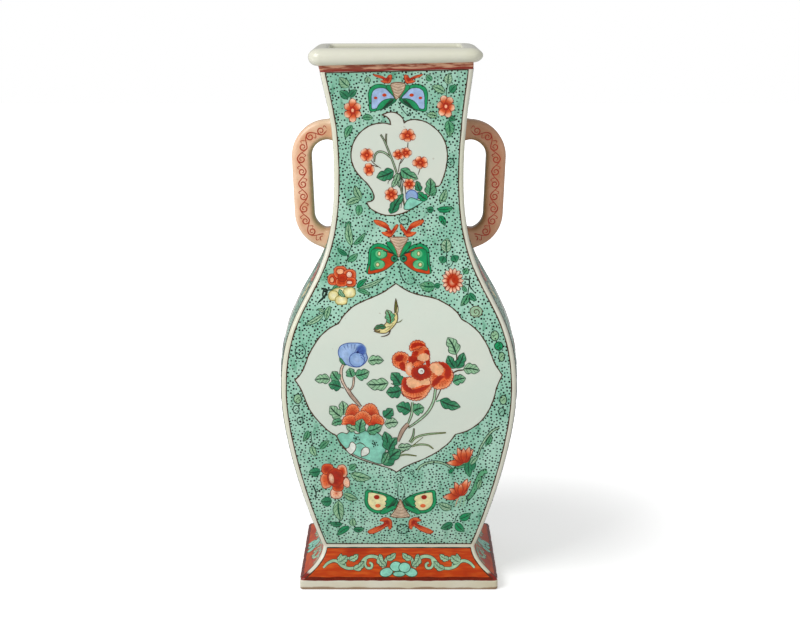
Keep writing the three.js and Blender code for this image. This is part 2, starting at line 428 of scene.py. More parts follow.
# a coat of enamel painted over the glaze. Attributes: paint and edge colours, ink = distance in from the
# coat's edge, and the map "brush" along and across the stroke, which the veins follow where veins is 1
def enamelMaterial():
    material, w, shader = newMaterial("enamel")
    place = objectPlace(w)
    paint, edge, edgeShare = w.attribute("paint"), w.attribute("edge"), w.attribute("edge", 3)
    stroke = w.node("ShaderNodeUVMap", {"uv_map": "brush"})
    along, across = part(w, stroke, 0), abs(part(w, stroke, 1))
    wash = w.noise(place, enamelLook["wash"], 3)
    pool = w.noise(place, enamelLook["pool"], 2)
    tone = wash.ramp(0.3, 0.7, 0.82, 1.12) * pool.ramp(0.3, 0.7, 0.93, 1.05)
    toned = w.node("ShaderNodeVectorMath", {"operation": "SCALE"}, {0: paint, 3: tone})
    # the drawn outline, then a leaf's midrib and ribs
    ink = w.attribute("ink", 2) + (pool - 0.5) * enamelLook["waver"]
    outlineMask = ink.ramp(*enamelLook["outline"]) * edgeShare
    midrib = across.ramp(*enamelLook["midrib"])
    rib = w.maths("FRACT", along * enamelLook["ribs"] - across * enamelLook["ribSlant"])
    ribMask = abs(rib - 0.5).ramp(0.10, 0.04) * across.ramp(0.92, 0.8)
    veinMask = w.maths("MAXIMUM", midrib, ribMask) * w.attribute("veins", 2)
    base = w.mix(outlineMask, w.mix(veinMask, toned, edge), edge)
    finish(shader, base, enamelLook["roughness"] + pool * 0.1, wash, 0.08 * mm, 1.34)
    return material


# turquoise ground, brushed on thin and pooled in places; the map "face" holds s and z in millimetres
def groundMaterial():
    material, w, shader = newMaterial("greenGround")
    face = w.node("ShaderNodeUVMap", {"uv_map": "face"})
    broad = w.noise(face, 0.045, 3)
    streak = w.noise(stretched(w, face, 1.0, 0.35, 1.0), 0.33, 3)
    fine = w.noise(face, 1.6, 3)
    base = w.mix(broad.ramp(0.35, 0.68), colours["groundPale"], colours["ground"])
    base = w.mix(streak.ramp(0.5, 0.74) * broad.ramp(0.3, 0.6, 0.45, 0.9), base, colours["groundDeep"])
    base = w.mix(fine.ramp(0.45, 0.75) * 0.45, base, colours["groundPale"])
    finish(shader, base, 0.2 + fine * 0.12, fine, 0.09 * mm)
    return material


def speckMaterial():
    material, w, shader = newMaterial("blackSpecks")
    fine = w.noise(objectPlace(w), 900, 2)
    base = w.mix(fine.ramp(0.45, 0.8) * 0.3, colours["black"], linear(24, 46, 36))
    finish(shader, base, 0.25 + fine * 0.15, ior=1.3)
    return material


# iron-red laid on in strokes, browner and thinner where the brush dried
def redMaterial():
    material, w, shader = newMaterial("ironRed")
    place = objectPlace(w)
    streak = w.noise(stretched(w, place, 0.25, 0.25, 2.2), 420, 4)
    base = w.mix(streak.ramp(0.4, 0.75), linear(184, 58, 8), linear(206, 88, 24))
    base = w.mix(w.noise(place, 60, 3).ramp(0.5, 0.75) * 0.7, base, linear(158, 36, 4))
    finish(shader, base, 0.26 + streak * 0.16, streak, 0.06 * mm, 1.34)
    return material


# thin salmon wash on the handles, paler outside; greyer inside, which is painted shade on the inner faces;
# browner on the right handle, partly a heavier wash and partly painted shade on the side away from the key
# light. Attribute: outward from -1 inside the loop to 1 outside
def salmonMaterial():
    material, w, shader = newMaterial("salmonWashWithPaintedShade")
    place = objectPlace(w)
    wash = w.noise(place, 120, 4)
    fine = w.noise(place, 700, 2)
    outward = w.attribute("outward", 2)
    right = part(w, place, 0).ramp(-0.01, 0.01)
    base = w.mix(wash.ramp(0.35, 0.68), linear(238, 190, 156), linear(220, 158, 118))
    base = w.mix(outward.ramp(0.25, 0.95) * 0.6, base, linear(238, 210, 180))
    # painted shade: the inner faces of the loop darkened towards grey-brown
    base = w.mix(outward.ramp(-0.45, -0.95) * 0.75, base, linear(186, 152, 112))
    # the right handle browner: partly a heavier wash, partly painted shade on the side away from the key
    # light
    base = w.mix(right * (0.45 + wash * 0.35), base, linear(176, 112, 72))
    base = w.mix(fine.ramp(0.6, 0.8) * 0.3, base, linear(202, 140, 100))
    finish(shader, base, 0.2 + wash * 0.15, fine, 0.05 * mm)
    return material


def scrollMaterial():
    material, w, shader = newMaterial("scrollRed")
    fine = w.noise(objectPlace(w), 600, 3)
    base = w.mix(fine.ramp(0.35, 0.7), linear(168, 46, 18), linear(190, 74, 40))
    finish(shader, base, 0.24 + fine * 0.16)
    return material


glaze = glazeMaterial()
enamel = enamelMaterial()
ground = groundMaterial()
specks = speckMaterial()
ironRed = redMaterial()
salmon = salmonMaterial()
scrollRed = scrollMaterial()
print("stage: materials")


def meshObject(name, points, faces, material, smooth=True):
    mesh = bpy.data.meshes.new(name)
    mesh.from_pydata([tuple(p) for p in points], [], [tuple(int(i) for i in f) for f in faces])
    mesh.materials.append(material)
    mesh.polygons.foreach_set("use_smooth", [smooth] * len(mesh.polygons))
    mesh.update()
    return addObject(name, mesh)


# a value, or a colour, for each point of a piece
def pointValues(piece, name, values):
    values = np.asarray(values, np.float32)
    isColour = values.ndim == 2 and values.shape[1] == 4
    layer = piece.data.attributes.new(name, "FLOAT_COLOR" if isColour else "FLOAT", "POINT")
    layer.data.foreach_set("color" if isColour else "value", values.ravel())


# a map that gives each point of a piece its own place
def pointMap(piece, name, places):
    mesh = piece.data
    corner = np.zeros(len(mesh.loops), np.int32)
    mesh.loops.foreach_get("vertex_index", corner)
    mesh.uv_layers.new(name=name).data.foreach_set("uv", places[corner].astype(np.float32).ravel())


# quads between neighbouring rows of points; wrapped joins each row's end to its start
def gridFaces(rows, columns, wrapped=False):
    index = np.arange(rows * columns).reshape(rows, columns)
    if wrapped:
        index = np.hstack([index, index[:, :1]])
    return np.stack([index[:-1, :-1], index[:-1, 1:], index[1:, 1:], index[1:, :-1]], -1).reshape(-1, 4)


# loops joined into a tube that is closed at both ends
def tubeFaces(loops, count):
    last = (loops - 1) * count
    caps = [list(range(count))[::-1], list(range(last, last + count))]
    return gridFaces(loops, count, True).tolist() + caps


def settle(piece, replaced=()):
    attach(piece, "root")
    if replaced:
        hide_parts(*replaced)


# the glazed body, inside and out, as one skin from the hollow under the foot to the floor inside
body = {
    "levels": 150,
    "flatSteps": 12,
    "cornerSteps": 6,
    "floorTop": 25.8 * mm,
    "underside": 14.8 * mm,
    "rim": 6.0 * mm,
    "rimRound": 0.8 * mm,
    "innerCorner": 2.5 * mm,
    "floorCurve": 3 * mm,
    "ledge": 2.6 * mm,         # under the foot, from the walls' inside to where the hollow begins
    "lipOverhang": 4.6 * mm,
    "noseHeight": 3.9 * mm,
    "mouthRound": 1.6 * mm,
    "plinthEdge": 0.9 * mm,
}


# the vase's plan at one height as a closed loop: rounded corners, ends bowed by the crown
def planLoop(halfWidth, halfDepth, radius, crown, z):
    loop = []
    for side in range(4):
        half, reach = (halfWidth, halfDepth) if side % 2 == 0 else (halfDepth, halfWidth)
        flat = half - radius
        local = []
        for s in -flat + 2 * flat * np.arange(body["flatSteps"]) / body["flatSteps"]:
            bow = crown * (1 - (s / flat) ** 2) if side % 2 else 0.0
            local.append((s, -(reach + bow)))
        for a in np.arange(body["cornerSteps"]) / body["cornerSteps"] * math.pi / 2:
            local.append((flat + radius * math.sin(a), -(reach - radius + radius * math.cos(a))))
        loop += [(*turned(x, y, side * math.pi / 2), z) for x, y in local]
    return loop


def bodyPlans():
    sink, waist, corner, plinth = form["glazeSink"], form["waist"], form["corner"], form["plinth"]
    plinthW, plinthD = outline[0][0] - sink, outline[0][1] - sink
    rim, rounding, edge = body["rim"], body["rimRound"], body["plinthEdge"]
    under, floor, curve = body["underside"], body["floorTop"], body["floorCurve"]
    quarter = math.pi / 2
    plans = []

    def ring(inset, z, radius=corner, w=plinthW, d=plinthD, crown=0.0):
        plans.append((w - inset, d - inset, radius, crown, z))

    # the hollow under the foot, out to the rim that the vase stands on
    depthUnder = form["footSpread"] + form["wall"] + body["ledge"]
    for share in (0.86, 0.5, 0.0):
        ring(depthUnder + share * (waist[1] / 2 - 8 * mm), under + 0.3 * mm * share)
    for t in np.linspace(0, 1, 10)[1:]:
        ring(depthUnder + (rim - depthUnder) * t, under + (4 * mm - under) * t ** 1.5)
    ring(rim, 1.6 * mm)
    for a in np.linspace(0, quarter, 5):
        ring(rim - rounding + rounding * math.cos(a), rounding * (1 - math.sin(a)))
    for a in np.linspace(quarter, 0, 6):
        ring(rounding - rounding * math.cos(a), rounding * (1 - math.sin(a)))
    # the plinth and its soft upper edge
    for z in np.linspace(rounding, plinth - edge, 6)[1:]:
        ring(0, z)
    ring(0.12 * mm, plinth - 0.5 * edge)
    ring(0.42 * mm, plinth - 0.12 * edge)
    # the skirt, belly and neck
    skirt = np.linspace(plinth + 0.25 * mm, waist[2], 22)
    for z in [*skirt, *np.linspace(waist[2], form["mouth"][2], body["levels"])[1:]]:
        w, d = halfSizes(z)
        ring(0, z, corner, w - sink, d - sink, float(crownAt(z)))
    # the lip: under its nose, over its crest and round into the mouth
    mouth = (form["mouth"][0] / 2 - sink, form["mouth"][1] / 2 - sink)
    base, top = lipBox[0][2], lipBox[1][2]
    nose, reach = body["noseHeight"], body["lipOverhang"] + sink
    for a in np.linspace(-quarter, 0, 9):
        out = 0.3 * mm + (reach - 0.3 * mm) * math.cos(a)
        ring(-out, base + nose + nose * math.sin(a), corner + out, *mouth)
    crest = -form["wall"] / 3
    for a in np.linspace(0, quarter, 11)[1:]:
        out = crest + (reach - crest) * math.cos(a)
        ring(-out, base + nose + (top - base - nose) * math.sin(a), corner + max(out, 0.4 * mm), *mouth)
    inner, turn = body["innerCorner"], body["mouthRound"]
    for a in np.linspace(0, quarter, 8):
        ring(form["wall"] - turn + turn * math.sin(a), top - turn + turn * math.cos(a), inner, *mouth)
    # down the inside to the floor
    for z in np.linspace(form["mouth"][2], floor + curve, 90):
        ring(form["wall"] - sink, z, inner, *halfSizes(z), float(crownAt(z)))
    w, d = halfSizes(floor)
    for a in np.linspace(0, quarter, 6)[1:]:
        ring(form["wall"] - sink + curve * (1 - math.cos(a)), floor + curve * (1 - math.sin(a)), inner, w, d)
    for share in (0.4, 0.8):
        ring(form["wall"] + curve + share * (d - 10 * mm), floor, inner, w, d)
    return plans


def bodySkin():
    loops = [planLoop(w, d, max(min(r, d * 0.45), 0.3 * mm), crown, z) for w, d, r, crown, z in bodyPlans()]
    trueForm = np.array([p for loop in loops for p in loop])
    piece = meshObject("glazed_body", slanted(trueForm), tubeFaces(len(loops), len(loops[0])), glaze)
    z = trueForm[:, 2]
    w, d = halfSizes(z)
    insetX, insetY = w - np.abs(trueForm[:, 0]), d - np.abs(trueForm[:, 1])
    outside = np.minimum(insetX, insetY) < 2 * mm
    painted = (z > form["waist"][2]) & (z < panels["top"]) & outside
    pointValues(piece, "cool", painted * smoothStep(1 * mm, 8 * mm, np.maximum(insetX, insetY)))
    pointValues(piece, "level", z)
    pointValues(piece, "outside", outside)
    sides = ("front", "right", "back", "left")
    nodes = [f"{part}_{side}" for part in ("wall", "lip", "foot") for side in sides]
    settle(piece, nodes + ["floor_slab"])


# smooth curve through a few points
def smoothCurve(points, step=1.0, closed=False):
    p = np.asarray(points, float)
    ends = (p[-1], p[0], p[1]) if closed else (2 * p[0] - p[1], 2 * p[-1] - p[-2])
    q = np.vstack([ends[0], p, *ends[1:]])
    pieces = []
    for i in range(1, len(q) - 2):
        a, b, c, d = q[i - 1:i + 3]
        count = max(2, int(math.ceil(np.linalg.norm(c - b) / step)))
        t = np.arange(count)[:, None] / count
        pieces.append(b + 0.5 * t * (c - a + t * (2 * a - 5 * b + 4 * c - d + t * (3 * (b - c) + d - a))))
    if not closed:
        pieces.append(p[-1:])
    return np.vstack(pieces)


def ellipse(x, y, rx, ry, turn=0.0, count=24, scallops=0):
    a = np.linspace(0, 2 * math.pi, count, endpoint=False)
    r = 1 + 0.1 * (np.abs(np.sin(scallops * a / 2)) - 0.5) if scallops else 1.0
    u, v = turned(rx * r * np.cos(a), ry * r * np.sin(a), math.radians(turn))
    return np.stack([x + u, y + v], 1)


# enamel lies over the glaze in coats; heights above the bare glaze
coats = {
    "ground": 0.05 * mm,
    "firstMark": 0.07 * mm,
    "nextMark": 0.013 * mm,
    "rimDrop": 0.006 * mm,
    "sunkEdge": 0.03 * mm,
}


def markLift(layer):
    return coats["firstMark"] + coats["nextMark"] * layer


# the tone at a leaf's tip, where it isn't the leaf's own
leafTips = {"rock": "rockPale", "leaf": "leafPale", "leafDark": "leaf", "green": "leaf",
            "leafPale": "leafWan"}
patchRings = np.array([0.28, 0.48, 0.64, 0.78, 0.89, 1.0])    # shares of the way from its heart to its rim


# points along a slightly bent line from base to tip, and the straight line between them
def spine(base, tip, t, bend):
    base = np.array(base, float)
    axis = np.array(tip, float) - base
    normal = np.array((-axis[1], axis[0]))
    return base + axis * t[:, None] + normal * (bend * np.sin(math.pi * t))[:, None], axis


# one face of the vase while it is painted. Marks are drawn in board pixels; spread and scale fit them to
# the narrower ends, anchor holds a group of marks together, and swap changes a tone for another
class Face:
    def __init__(self, name, side, mirror, spread, scale):
        self.name, self.side, self.mirror = name, side, mirror
        self.spread, self.scale = spread, np.array(scale)
        self.kind, self.anchor, self.swap = "leaves", None, {}
        self.coats = {}

    def place(self, points):
        p = np.asarray(points, float)
        anchor = p.reshape(-1, 2).mean(0) if self.anchor is None else np.array(self.anchor, float)
        middle = view["middleColumn"]
        centre = np.array((middle + self.spread * (anchor[0] - middle), anchor[1]))
        moved = centre + (p - anchor) * self.scale
        if self.mirror:
            moved[..., 0] = 2 * middle - moved[..., 0]
        return fromBoard(moved)

    def tone(self, name):
        return np.array(colours[self.swap.get(name, name)])

    # tones are one name, or stops of a share and a name
    def blend(self, stops, value):
        if isinstance(stops, str):
            stops = [(0, stops), (1, stops)]
        places = [place for place, _ in stops]
        tones = np.array([self.tone(name) for _, name in stops])
        return np.stack([np.interp(value, places, tones[:, i]) for i in range(4)], -1)

    def mark(self, board, lift, faces, paint, ink, edge=None, veins=0.0, brush=0.0, placed=False):
        place = (board if placed else self.place(board)).reshape(-1, 2)
        if signedArea(place[faces]) < 0:
            faces = faces[:, ::-1]
        coat = self.coats.setdefault(self.kind, {"count": 0, "faces": [], "data": []})
        coat["faces"].extend((faces + coat["count"]).tolist())
        rim = self.tone(edge) if edge else np.zeros(4)
        fields = ((lift[..., None], 1), (paint, 4), (rim, 4), (ink[..., None], 1), (veins, 1), (brush, 2))
        columns = [np.broadcast_to(v, (*board.shape[:-1], size)).reshape(-1, size) for v, size in fields]
        coat["data"].append(np.hstack([place, *columns]))
        coat["count"] += len(place)

    # a strip of quads between a left and a right edge, from one end of a stroke, leaf or petal to the other
    def ribbon(self, middle, half, stops, layer, edge, veins=0.0, across=(-1, 0, 1), axis=None,
               rimTone=False):
        s = np.array(across, float)
        heading = np.gradient(middle, axis=0) if axis is None else np.tile(axis, (len(middle), 1))
        board = middle[:, None] + leftOf(heading)[:, None] * (half[:, None] * s)[..., None]
        shape = board.shape[:2]
        lift = np.broadcast_to(markLift(layer) - coats["rimDrop"] * np.abs(s) ** 4, shape)
        ink = (1 - np.abs(s)) * np.maximum(half, 0)[:, None] * view["pixel"]
        reach = np.broadcast_to(np.linspace(0, 1, len(middle))[:, None], shape)
        value = np.maximum(reach, np.abs(s) ** 3 * 0.9) if rimTone else reach
        brush = np.stack([reach, np.broadcast_to(s, shape)], -1)
        self.mark(board, lift, gridFaces(*shape), self.blend(stops, value), ink, edge, veins, brush)

    def leaf(self, x0, y0, x1, y1, width, tone="leaf", layer=2, bend=0.08, lobes=0, edge="leafLine",
             veins=1.0):
        t = np.linspace(0.012, 0.988, 14 + 2 * lobes)
        middle, axis = spine((x0, y0), (x1, y1), t, bend)
        half = 0.5 * width * np.sin(math.pi * t ** 0.82) ** 0.75
        if lobes:
            half = half * (0.74 + 0.44 * np.abs(np.sin(lobes * math.pi * t)) ** 0.7)
        stops = [(0, tone), (0.55, tone), (1, leafTips.get(tone, tone))]
        self.ribbon(middle, half, stops, layer, edge, veins, (-1, -0.8, -0.4, 0, 0.4, 0.8, 1), axis)

    def petal(self, x0, y0, x1, y1, width, stops, layer, edge="redLine", pointed=False, bend=0.0):
        t = np.linspace(0.01, 0.99, 9)
        middle, axis = spine((x0, y0), (x1, y1), t, bend)
        plump = np.sin(math.pi * t ** 0.9) ** 0.8 if pointed else np.sqrt(4 * t * (1 - t)) * (0.68 + 0.5 * t)
        self.ribbon(middle, 0.5 * width * plump, stops, layer, edge, 0.0, (-1, -0.75, 0, 0.75, 1), axis, True)

    # ends are the shares of the width that a stroke starts and stops with
    def stroke(self, points, width, tone, layer=6, ends=(0.4, 0.4), edge=None, smooth=True, closed=False):
        path = smoothCurve(points, 0.9, closed) if smooth else np.asarray(points, float)
        t = np.linspace(0, 1, len(path))
        half = 0.5 * width * (1 - (1 - ends[0]) * (1 - t) ** 3 - (1 - ends[1]) * t ** 3)
        if closed:
            path = np.vstack([path, path[:1]])
            half = np.full(len(path), 0.5 * width)
        self.ribbon(path, half, tone, layer, edge)

    # a line straight out from a heart towards a rim, between two shares of the way
    def ray(self, heart, rim, shares, width, tone, layer, ends):
        heart = np.array(heart, float)
        away = np.array(rim) - heart
        self.stroke([heart + away * share for share in shares], width, tone, layer, ends, smooth=False)

    # a round patch: rings shrink from the outline to a point inside it, coloured from the inside out
    def patch(self, outline, stops, layer, edge="line", centre=None, smooth=True, frill=0.0):
        rim = smoothCurve(outline, 0.75 if frill else 1.2, True) if smooth else outline
        centre = rim.mean(0) if centre is None else np.array(centre, float)
        count = len(rim)
        away = rim - centre
        if frill:
            wave = 2 * np.abs(np.sin(np.arange(count) * math.pi / count * round(count / 4.6))) - 1.3
            rim = centre + away * (1 + frill * wave / np.linalg.norm(away, axis=1))[:, None]
            away = rim - centre
        board = np.vstack([centre[None], *(centre + away * share for share in patchRings)])
        r = np.concatenate([[0], np.repeat(patchRings, count)])
        ring = np.arange(count)
        after = (ring + 1) % count
        fan = np.stack([0 * ring, 1 + ring, 1 + after, 1 + after], 1)
        bands = 1 + gridFaces(len(patchRings), count, True)[:, [0, 3, 2, 1]]
        reach = np.abs((away * leftOf(headingRound(rim))).sum(1))
        reach = np.concatenate([[reach.mean()], np.tile(reach, len(patchRings))])
        lift, ink = markLift(layer) - coats["rimDrop"] * r ** 6, (1 - r) * reach * view["pixel"]
        brush = np.stack([r, r * 0 + 2], 1)
        self.mark(board, lift, np.vstack([fan, bands]), self.blend(stops, r), ink, edge, brush=brush)

    def disc(self, x, y, rx, ry, stops, layer, edge="line", turn=0.0, scallops=0):
        count = int(max(10, 4 * max(rx, ry), 5 * scallops))
        self.patch(ellipse(x, y, rx, ry, turn, count, scallops), stops, layer, edge, smooth=False)

    def spiral(self, x, y, r, turns, start, tone, width=0.9, way=1, layer=6):
        a = np.linspace(0, turns * 2 * math.pi, int(10 * turns) + 2)
        grow = r * (0.15 + 0.85 * a / a[-1])
        points = np.stack([x + grow * np.cos(way * a + start), y + grow * np.sin(way * a + start)], 1)
        self.stroke(points, width, tone, layer, (0.7, 0.5))

    def build(self):
        for kind, coat in self.coats.items():
            data = np.vstack(coat["data"])
            faces = [f[:3] if f[2] == f[3] else (f[1:] if f[0] == f[1] else f) for f in coat["faces"]]
            piece = meshObject(f"{self.name}_{kind}", onFace(self.side, *data[:, :3].T), faces, enamel)
            columns = {"paint": slice(3, 7), "edge": slice(7, 11), "ink": 11, "veins": 12}
            for name, where in columns.items():
                pointValues(piece, name, data[:, where])
            pointMap(piece, "brush", data[:, 13:15])
            settle(piece)


# the green ground of each face, open where the white panels are
panels = {
    "margin": 2.9 * mm,
    "top": 274.5 * mm,
    "bottom": 21.8 * mm,
    "grid": 2.5 * mm,
    "line": 0.6 * mm,          # width of the dark line round the ground
    "holeLine": 0.62 * mm,     # and of the lines round its openings
}

# each opening's outline, in arcs from cusp to cusp
openings = {
    "leafPanel": [
        [(390.8, 124.7), (386, 123.3), (379, 123.2), (370.9, 125.2), (363.8, 129.3), (357.6, 135.4),
         (353, 143.6), (351, 152.8), (351.5, 160.9), (354.6, 169.1), (359.7, 176.2), (366.8, 183.4),
         (371.9, 190.5), (374, 196.6), (372.4, 200.7), (366.8, 202.2)],
        [(366.8, 202.2), (368.9, 206.8), (374, 210.9), (382.1, 214.5), (392.3, 215.5), (403.6, 213),
         (413.8, 207.9), (422.9, 201.7), (431.1, 193.6), (435.7, 186.4)],
        [(435.7, 186.4), (439.8, 185.4), (443.9, 176.2), (446.4, 166), (447.4, 156.8), (446.4, 146.6),
         (442.3, 136.4), (435.2, 128.3), (426, 122.1), (415.8, 119.6), (407.6, 120.6), (404.1, 123.2)],
        [(404.1, 123.2), (403, 119.1), (399.5, 115), (394.4, 112.4), (388.2, 112.4), (381.6, 115)],
        [(381.6, 115), (386.2, 116.6), (389.3, 119.6), (390.8, 124.7)],
    ],
    "flowerPanel": [
        [(395.8, 283.6), (384.5, 291.5), (375.3, 296.1), (364.6, 300.7), (353.9, 306), (344.7, 314.4),
         (338.4, 323.5)],
        [(338.4, 323.5), (328.6, 329), (319.4, 337.4), (313.3, 346.6), (308.7, 355), (305.4, 364),
         (301, 373.5), (294.8, 380.3)],
        [(294.8, 380.3), (299.5, 387), (303.5, 395.5), (307.5, 405.5), (313, 415), (321, 424), (329, 431.5),
         (336, 435.5)],
        [(336, 435.5), (340.7, 444.3), (347.9, 452), (356.8, 457.8), (368, 462), (380, 465.6), (389, 468.4),
         (396.8, 472.3)],
        [(396.8, 472.3), (403, 468), (412, 463.8), (423.8, 459.1), (437.1, 452), (448.8, 443),
         (455.5, 434.5)],
        [(455.5, 434.5), (463, 432.5), (471, 429), (481, 421.3), (488.5, 411), (493.7, 399), (497, 387),
         (502.3, 375.2)],
        [(502.3, 375.2), (495.2, 364.2), (491.4, 355), (486.8, 344.3), (479.2, 332.8), (470, 324.4),
         (461.7, 319.4)],
        [(461.7, 319.4), (457.5, 313), (451.6, 307.5), (442.4, 301.8), (433.3, 298), (420.2, 295.2),
         (408.8, 291.5), (395.8, 283.6)],
    ],
}


bodySkin()
print("stage: glazed body")


def panelOutline(arcs, step=1.6):
    return np.vstack([smoothCurve(arc, step)[:-1] for arc in arcs])


def inside(points, loop):
    x, y = points[:, 0][:, None], points[:, 1][:, None]
    a, b = loop, np.roll(loop, -1, axis=0)
    crosses = (a[:, 1] > y) != (b[:, 1] > y)
    rise = np.where(b[:, 1] == a[:, 1], 1e-12, b[:, 1] - a[:, 1])
    at = (b[:, 0] - a[:, 0]) * (y - a[:, 1]) / rise + a[:, 0]
    return (np.sum(crosses & (x < at), axis=1) % 2).astype(bool)


def nearest(points, loops):
    return np.min([np.sqrt(((points[:, None] - loop[None]) ** 2).sum(2)).min(1) for loop in loops], axis=0)


def shifted(loop, distance):
    return loop + leftOf(headingRound(loop)) * distance


def onGround(points, edge, holes):
    return inside(points, edge) & ~np.any([inside(points, hole) for hole in holes], axis=0)


def groundEdge(side):
    low, high = panels["bottom"], panels["top"]
    z = np.linspace(low, high, 130)
    half = halfSizes(z)[side % 2] - panels["margin"]
    across = np.linspace(-1, 1, 30)[1:-1]
    bottom, top = across * half[0], across[::-1] * half[-1]
    runs = ((half, z), (top, 0 * top + high), (-half[::-1], z[::-1]), (bottom, 0 * bottom + low))
    return np.vstack([np.stack(run, 1) for run in runs])


def paintGround(face, holes):
    edge = groundEdge(face.side)
    loops = [edge, *holes]
    step, w = panels["grid"], form["belly"][face.side % 2] / 2
    rows = np.arange(panels["bottom"], panels["top"], step * 0.87)
    grid = np.array([(x + (i % 2) * step / 2, z) for i, z in enumerate(rows) for x in np.arange(-w, w, step)])
    beside = 0.45 * mm
    near = [shifted(edge, beside), *(shifted(hole, way * beside) for hole in holes for way in (-1, 1))]
    spare = np.vstack([grid, *near])
    spare = spare[onGround(spare, edge, holes)]
    spare = spare[nearest(spare, loops) > 0.38 * mm]
    bounds, first = [], 0
    for loop in loops:
        bounds += [(first + i, first + (i + 1) % len(loop)) for i in range(len(loop))]
        first += len(loop)
    points = [Vector(p * 1000) for p in np.vstack([*loops, spare])]
    result = delaunay_2d_cdt(points, bounds, [], 0, 1e-5)
    flat = np.array([(v.x, v.y) for v in result[0]]) / 1000
    faces = np.array([f for f in result[2] if len(f) == 3])
    faces = faces[onGround(flat[faces].mean(1), edge, holes)]
    lift = np.where(nearest(flat, loops) < 0.02 * mm, -coats["sunkEdge"], coats["ground"])
    piece = meshObject(f"{face.name}_ground", onFace(face.side, *flat.T, lift), faces.tolist(), ground)
    pointMap(piece, "face", flat * 1000 + np.array((face.side * 173.0, 0)))
    settle(piece)
    return piece


# black specks sown over the ground by Geometry Nodes, a low dot at each place; every entry is an input
sowing = {
    "gap": 1.36 * mm,
    "density": 900000.0,       # the most to a square metre
    "radius": 0.53 * mm,
    "height": 0.06 * mm,
    "sunk": -0.02 * mm,
    "least": 0.72,             # the smallest dot, as a share of the radius
    "most": 1.25,
    "corners": 7,
}


def speckTree():
    tree = bpy.data.node_groups.new("speckSowing", "GeometryNodeTree")
    sockets = {"Geometry": "Geometry"}
    for name, value in {**sowing, "seed": 0}.items():
        sockets[name.capitalize()] = "Int" if isinstance(value, int) else "Float"
    for name, kind in sockets.items():
        tree.interface.new_socket(name, in_out="INPUT", socket_type=f"NodeSocket{kind}")
    tree.interface.new_socket("Geometry", in_out="OUTPUT", socket_type="NodeSocketGeometry")
    w = Wire(tree)
    given = tree.nodes.new("NodeGroupInput")
    carrier, gap, density, radius, height, sunk, least, most, corners, seed = (
        Wire(tree, given.outputs[name]) for name in sockets
    )
    sow = w.node("GeometryNodeDistributePointsOnFaces", {"distribute_method": "POISSON"},
                 {"Mesh": carrier, "Distance Min": gap, "Density Max": density, "Seed": seed})
    upright = Wire(tree, sow.socket.node.outputs["Rotation"])
    dot = w.node("GeometryNodeMeshCone", {}, {"Vertices": corners, "Radius Top": radius * 0.7,
                                              "Radius Bottom": radius, "Depth": height})
    drop = w.node("ShaderNodeCombineXYZ", {}, {"Z": sunk})
    lower = w.node("GeometryNodeTransform", {}, {"Geometry": dot, "Translation": drop})
    vary = w.node("FunctionNodeRandomValue", {}, {2: least, 3: most, "Seed": seed}, 1)
    copies = w.node("GeometryNodeInstanceOnPoints", {},
                    {"Points": sow, "Rotation": upright, "Instance": lower, "Scale": vary})
    real = w.node("GeometryNodeRealizeInstances", {}, {"Geometry": copies})
    inked = w.node("GeometryNodeSetMaterial", {}, {"Geometry": real, "Material": specks})
    tree.links.new(inked.socket, tree.nodes.new("NodeGroupOutput").inputs["Geometry"])
    return tree


speckNodes = speckTree()


def sowSpecks(face, groundPiece):
    carrier = addObject("carrier", groundPiece.data.copy())
    modifier = carrier.modifiers.new("sowing", "NODES")
    modifier.node_group = speckNodes
    values = {**sowing, "seed": 11 + face.side}
    for item in speckNodes.interface.items_tree:
        if item.in_out == "INPUT" and item.name.lower() in values:
            modifier[item.identifier] = values[item.name.lower()]
    bpy.context.view_layer.update()
    evaluated = carrier.evaluated_get(bpy.context.evaluated_depsgraph_get())
    mesh = bpy.data.meshes.new_from_object(evaluated)
    mesh.name = f"{face.name}_specks"
    carrier.modifiers.remove(modifier)
    bpy.data.objects.remove(carrier)
    settle(addObject(f"{face.name}_specks", mesh))


# tones of petals, from their base to their tip
redPetal = [(0, "redDeep"), (0.3, "red"), (0.52, "redWarm"), (0.74, "salmon"), (1, "blush")]
redSolid = [(0, "redDeep"), (0.6, "red"), (0.88, "redWarm"), (1, "salmon")]
yellowPetal = [(0, "creamPale"), (0.5, "cream"), (0.85, "yellowDeep"), (1, "cream")]
clusterPetal = [(0, "red"), (0.5, "red"), (0.78, "redWarm"), (1, "salmon")]
daisyPetal = [(0, "redDeep"), (0.42, "red"), (0.58, "salmon"), (0.8, "blush"), (1, "blush")]
lotusPetal = [(0, "redDeep"), (0.4, "red"), (0.62, "redWarm"), (0.85, "salmon"), (1, "blush")]


# petals round a middle, which start at a share of their length from it
def petalRing(face, x, y, rx, ry, count, root, width, stops, start=0.0, layers=2):
    for k in range(count):
        a = math.radians(start) + 2 * math.pi * k / count
        u, v = math.cos(a), math.sin(a)
        face.petal(x + root * rx * u, y + root * ry * v, x + rx * u, y + ry * v, width, stops, 4 + k % layers)


def rosette(face, x, y, rx, ry, count, start=0.0, eye="salmon", width=1.25):
    face.kind, held = "flowers", face.anchor
    face.anchor = held or (x, y)
    width *= 2 * math.pi * 0.6 * (rx + ry) / 2 / count
    petalRing(face, x, y, rx, ry, count, 0.1, width, redPetal, start, 3)
    face.disc(x, y, rx * 0.34, ry * 0.34, [(0, "red"), (1, "redDeep")], 8, "redDeep")
    face.disc(x, y, rx * 0.15, ry * 0.15, eye, 9, None)
    face.anchor = held


def daisy(face, x, y, rx, ry, count):
    face.kind, face.anchor = "flowers", (x, y)
    petalRing(face, x, y, rx, ry, count, 0.2, 4.6, daisyPetal)
    heart = [(0, "salmon"), (0.7, "red"), (1, "redDeep")]
    face.disc(x - 0.5, y + 1.5, rx * 0.42, ry * 0.42, heart, 8, "redDeep")
    face.disc(x + 2, y - 1.5, rx * 0.3, ry * 0.34, [(0, "redDeep"), (1, "red")], 9, None)
    face.anchor = None


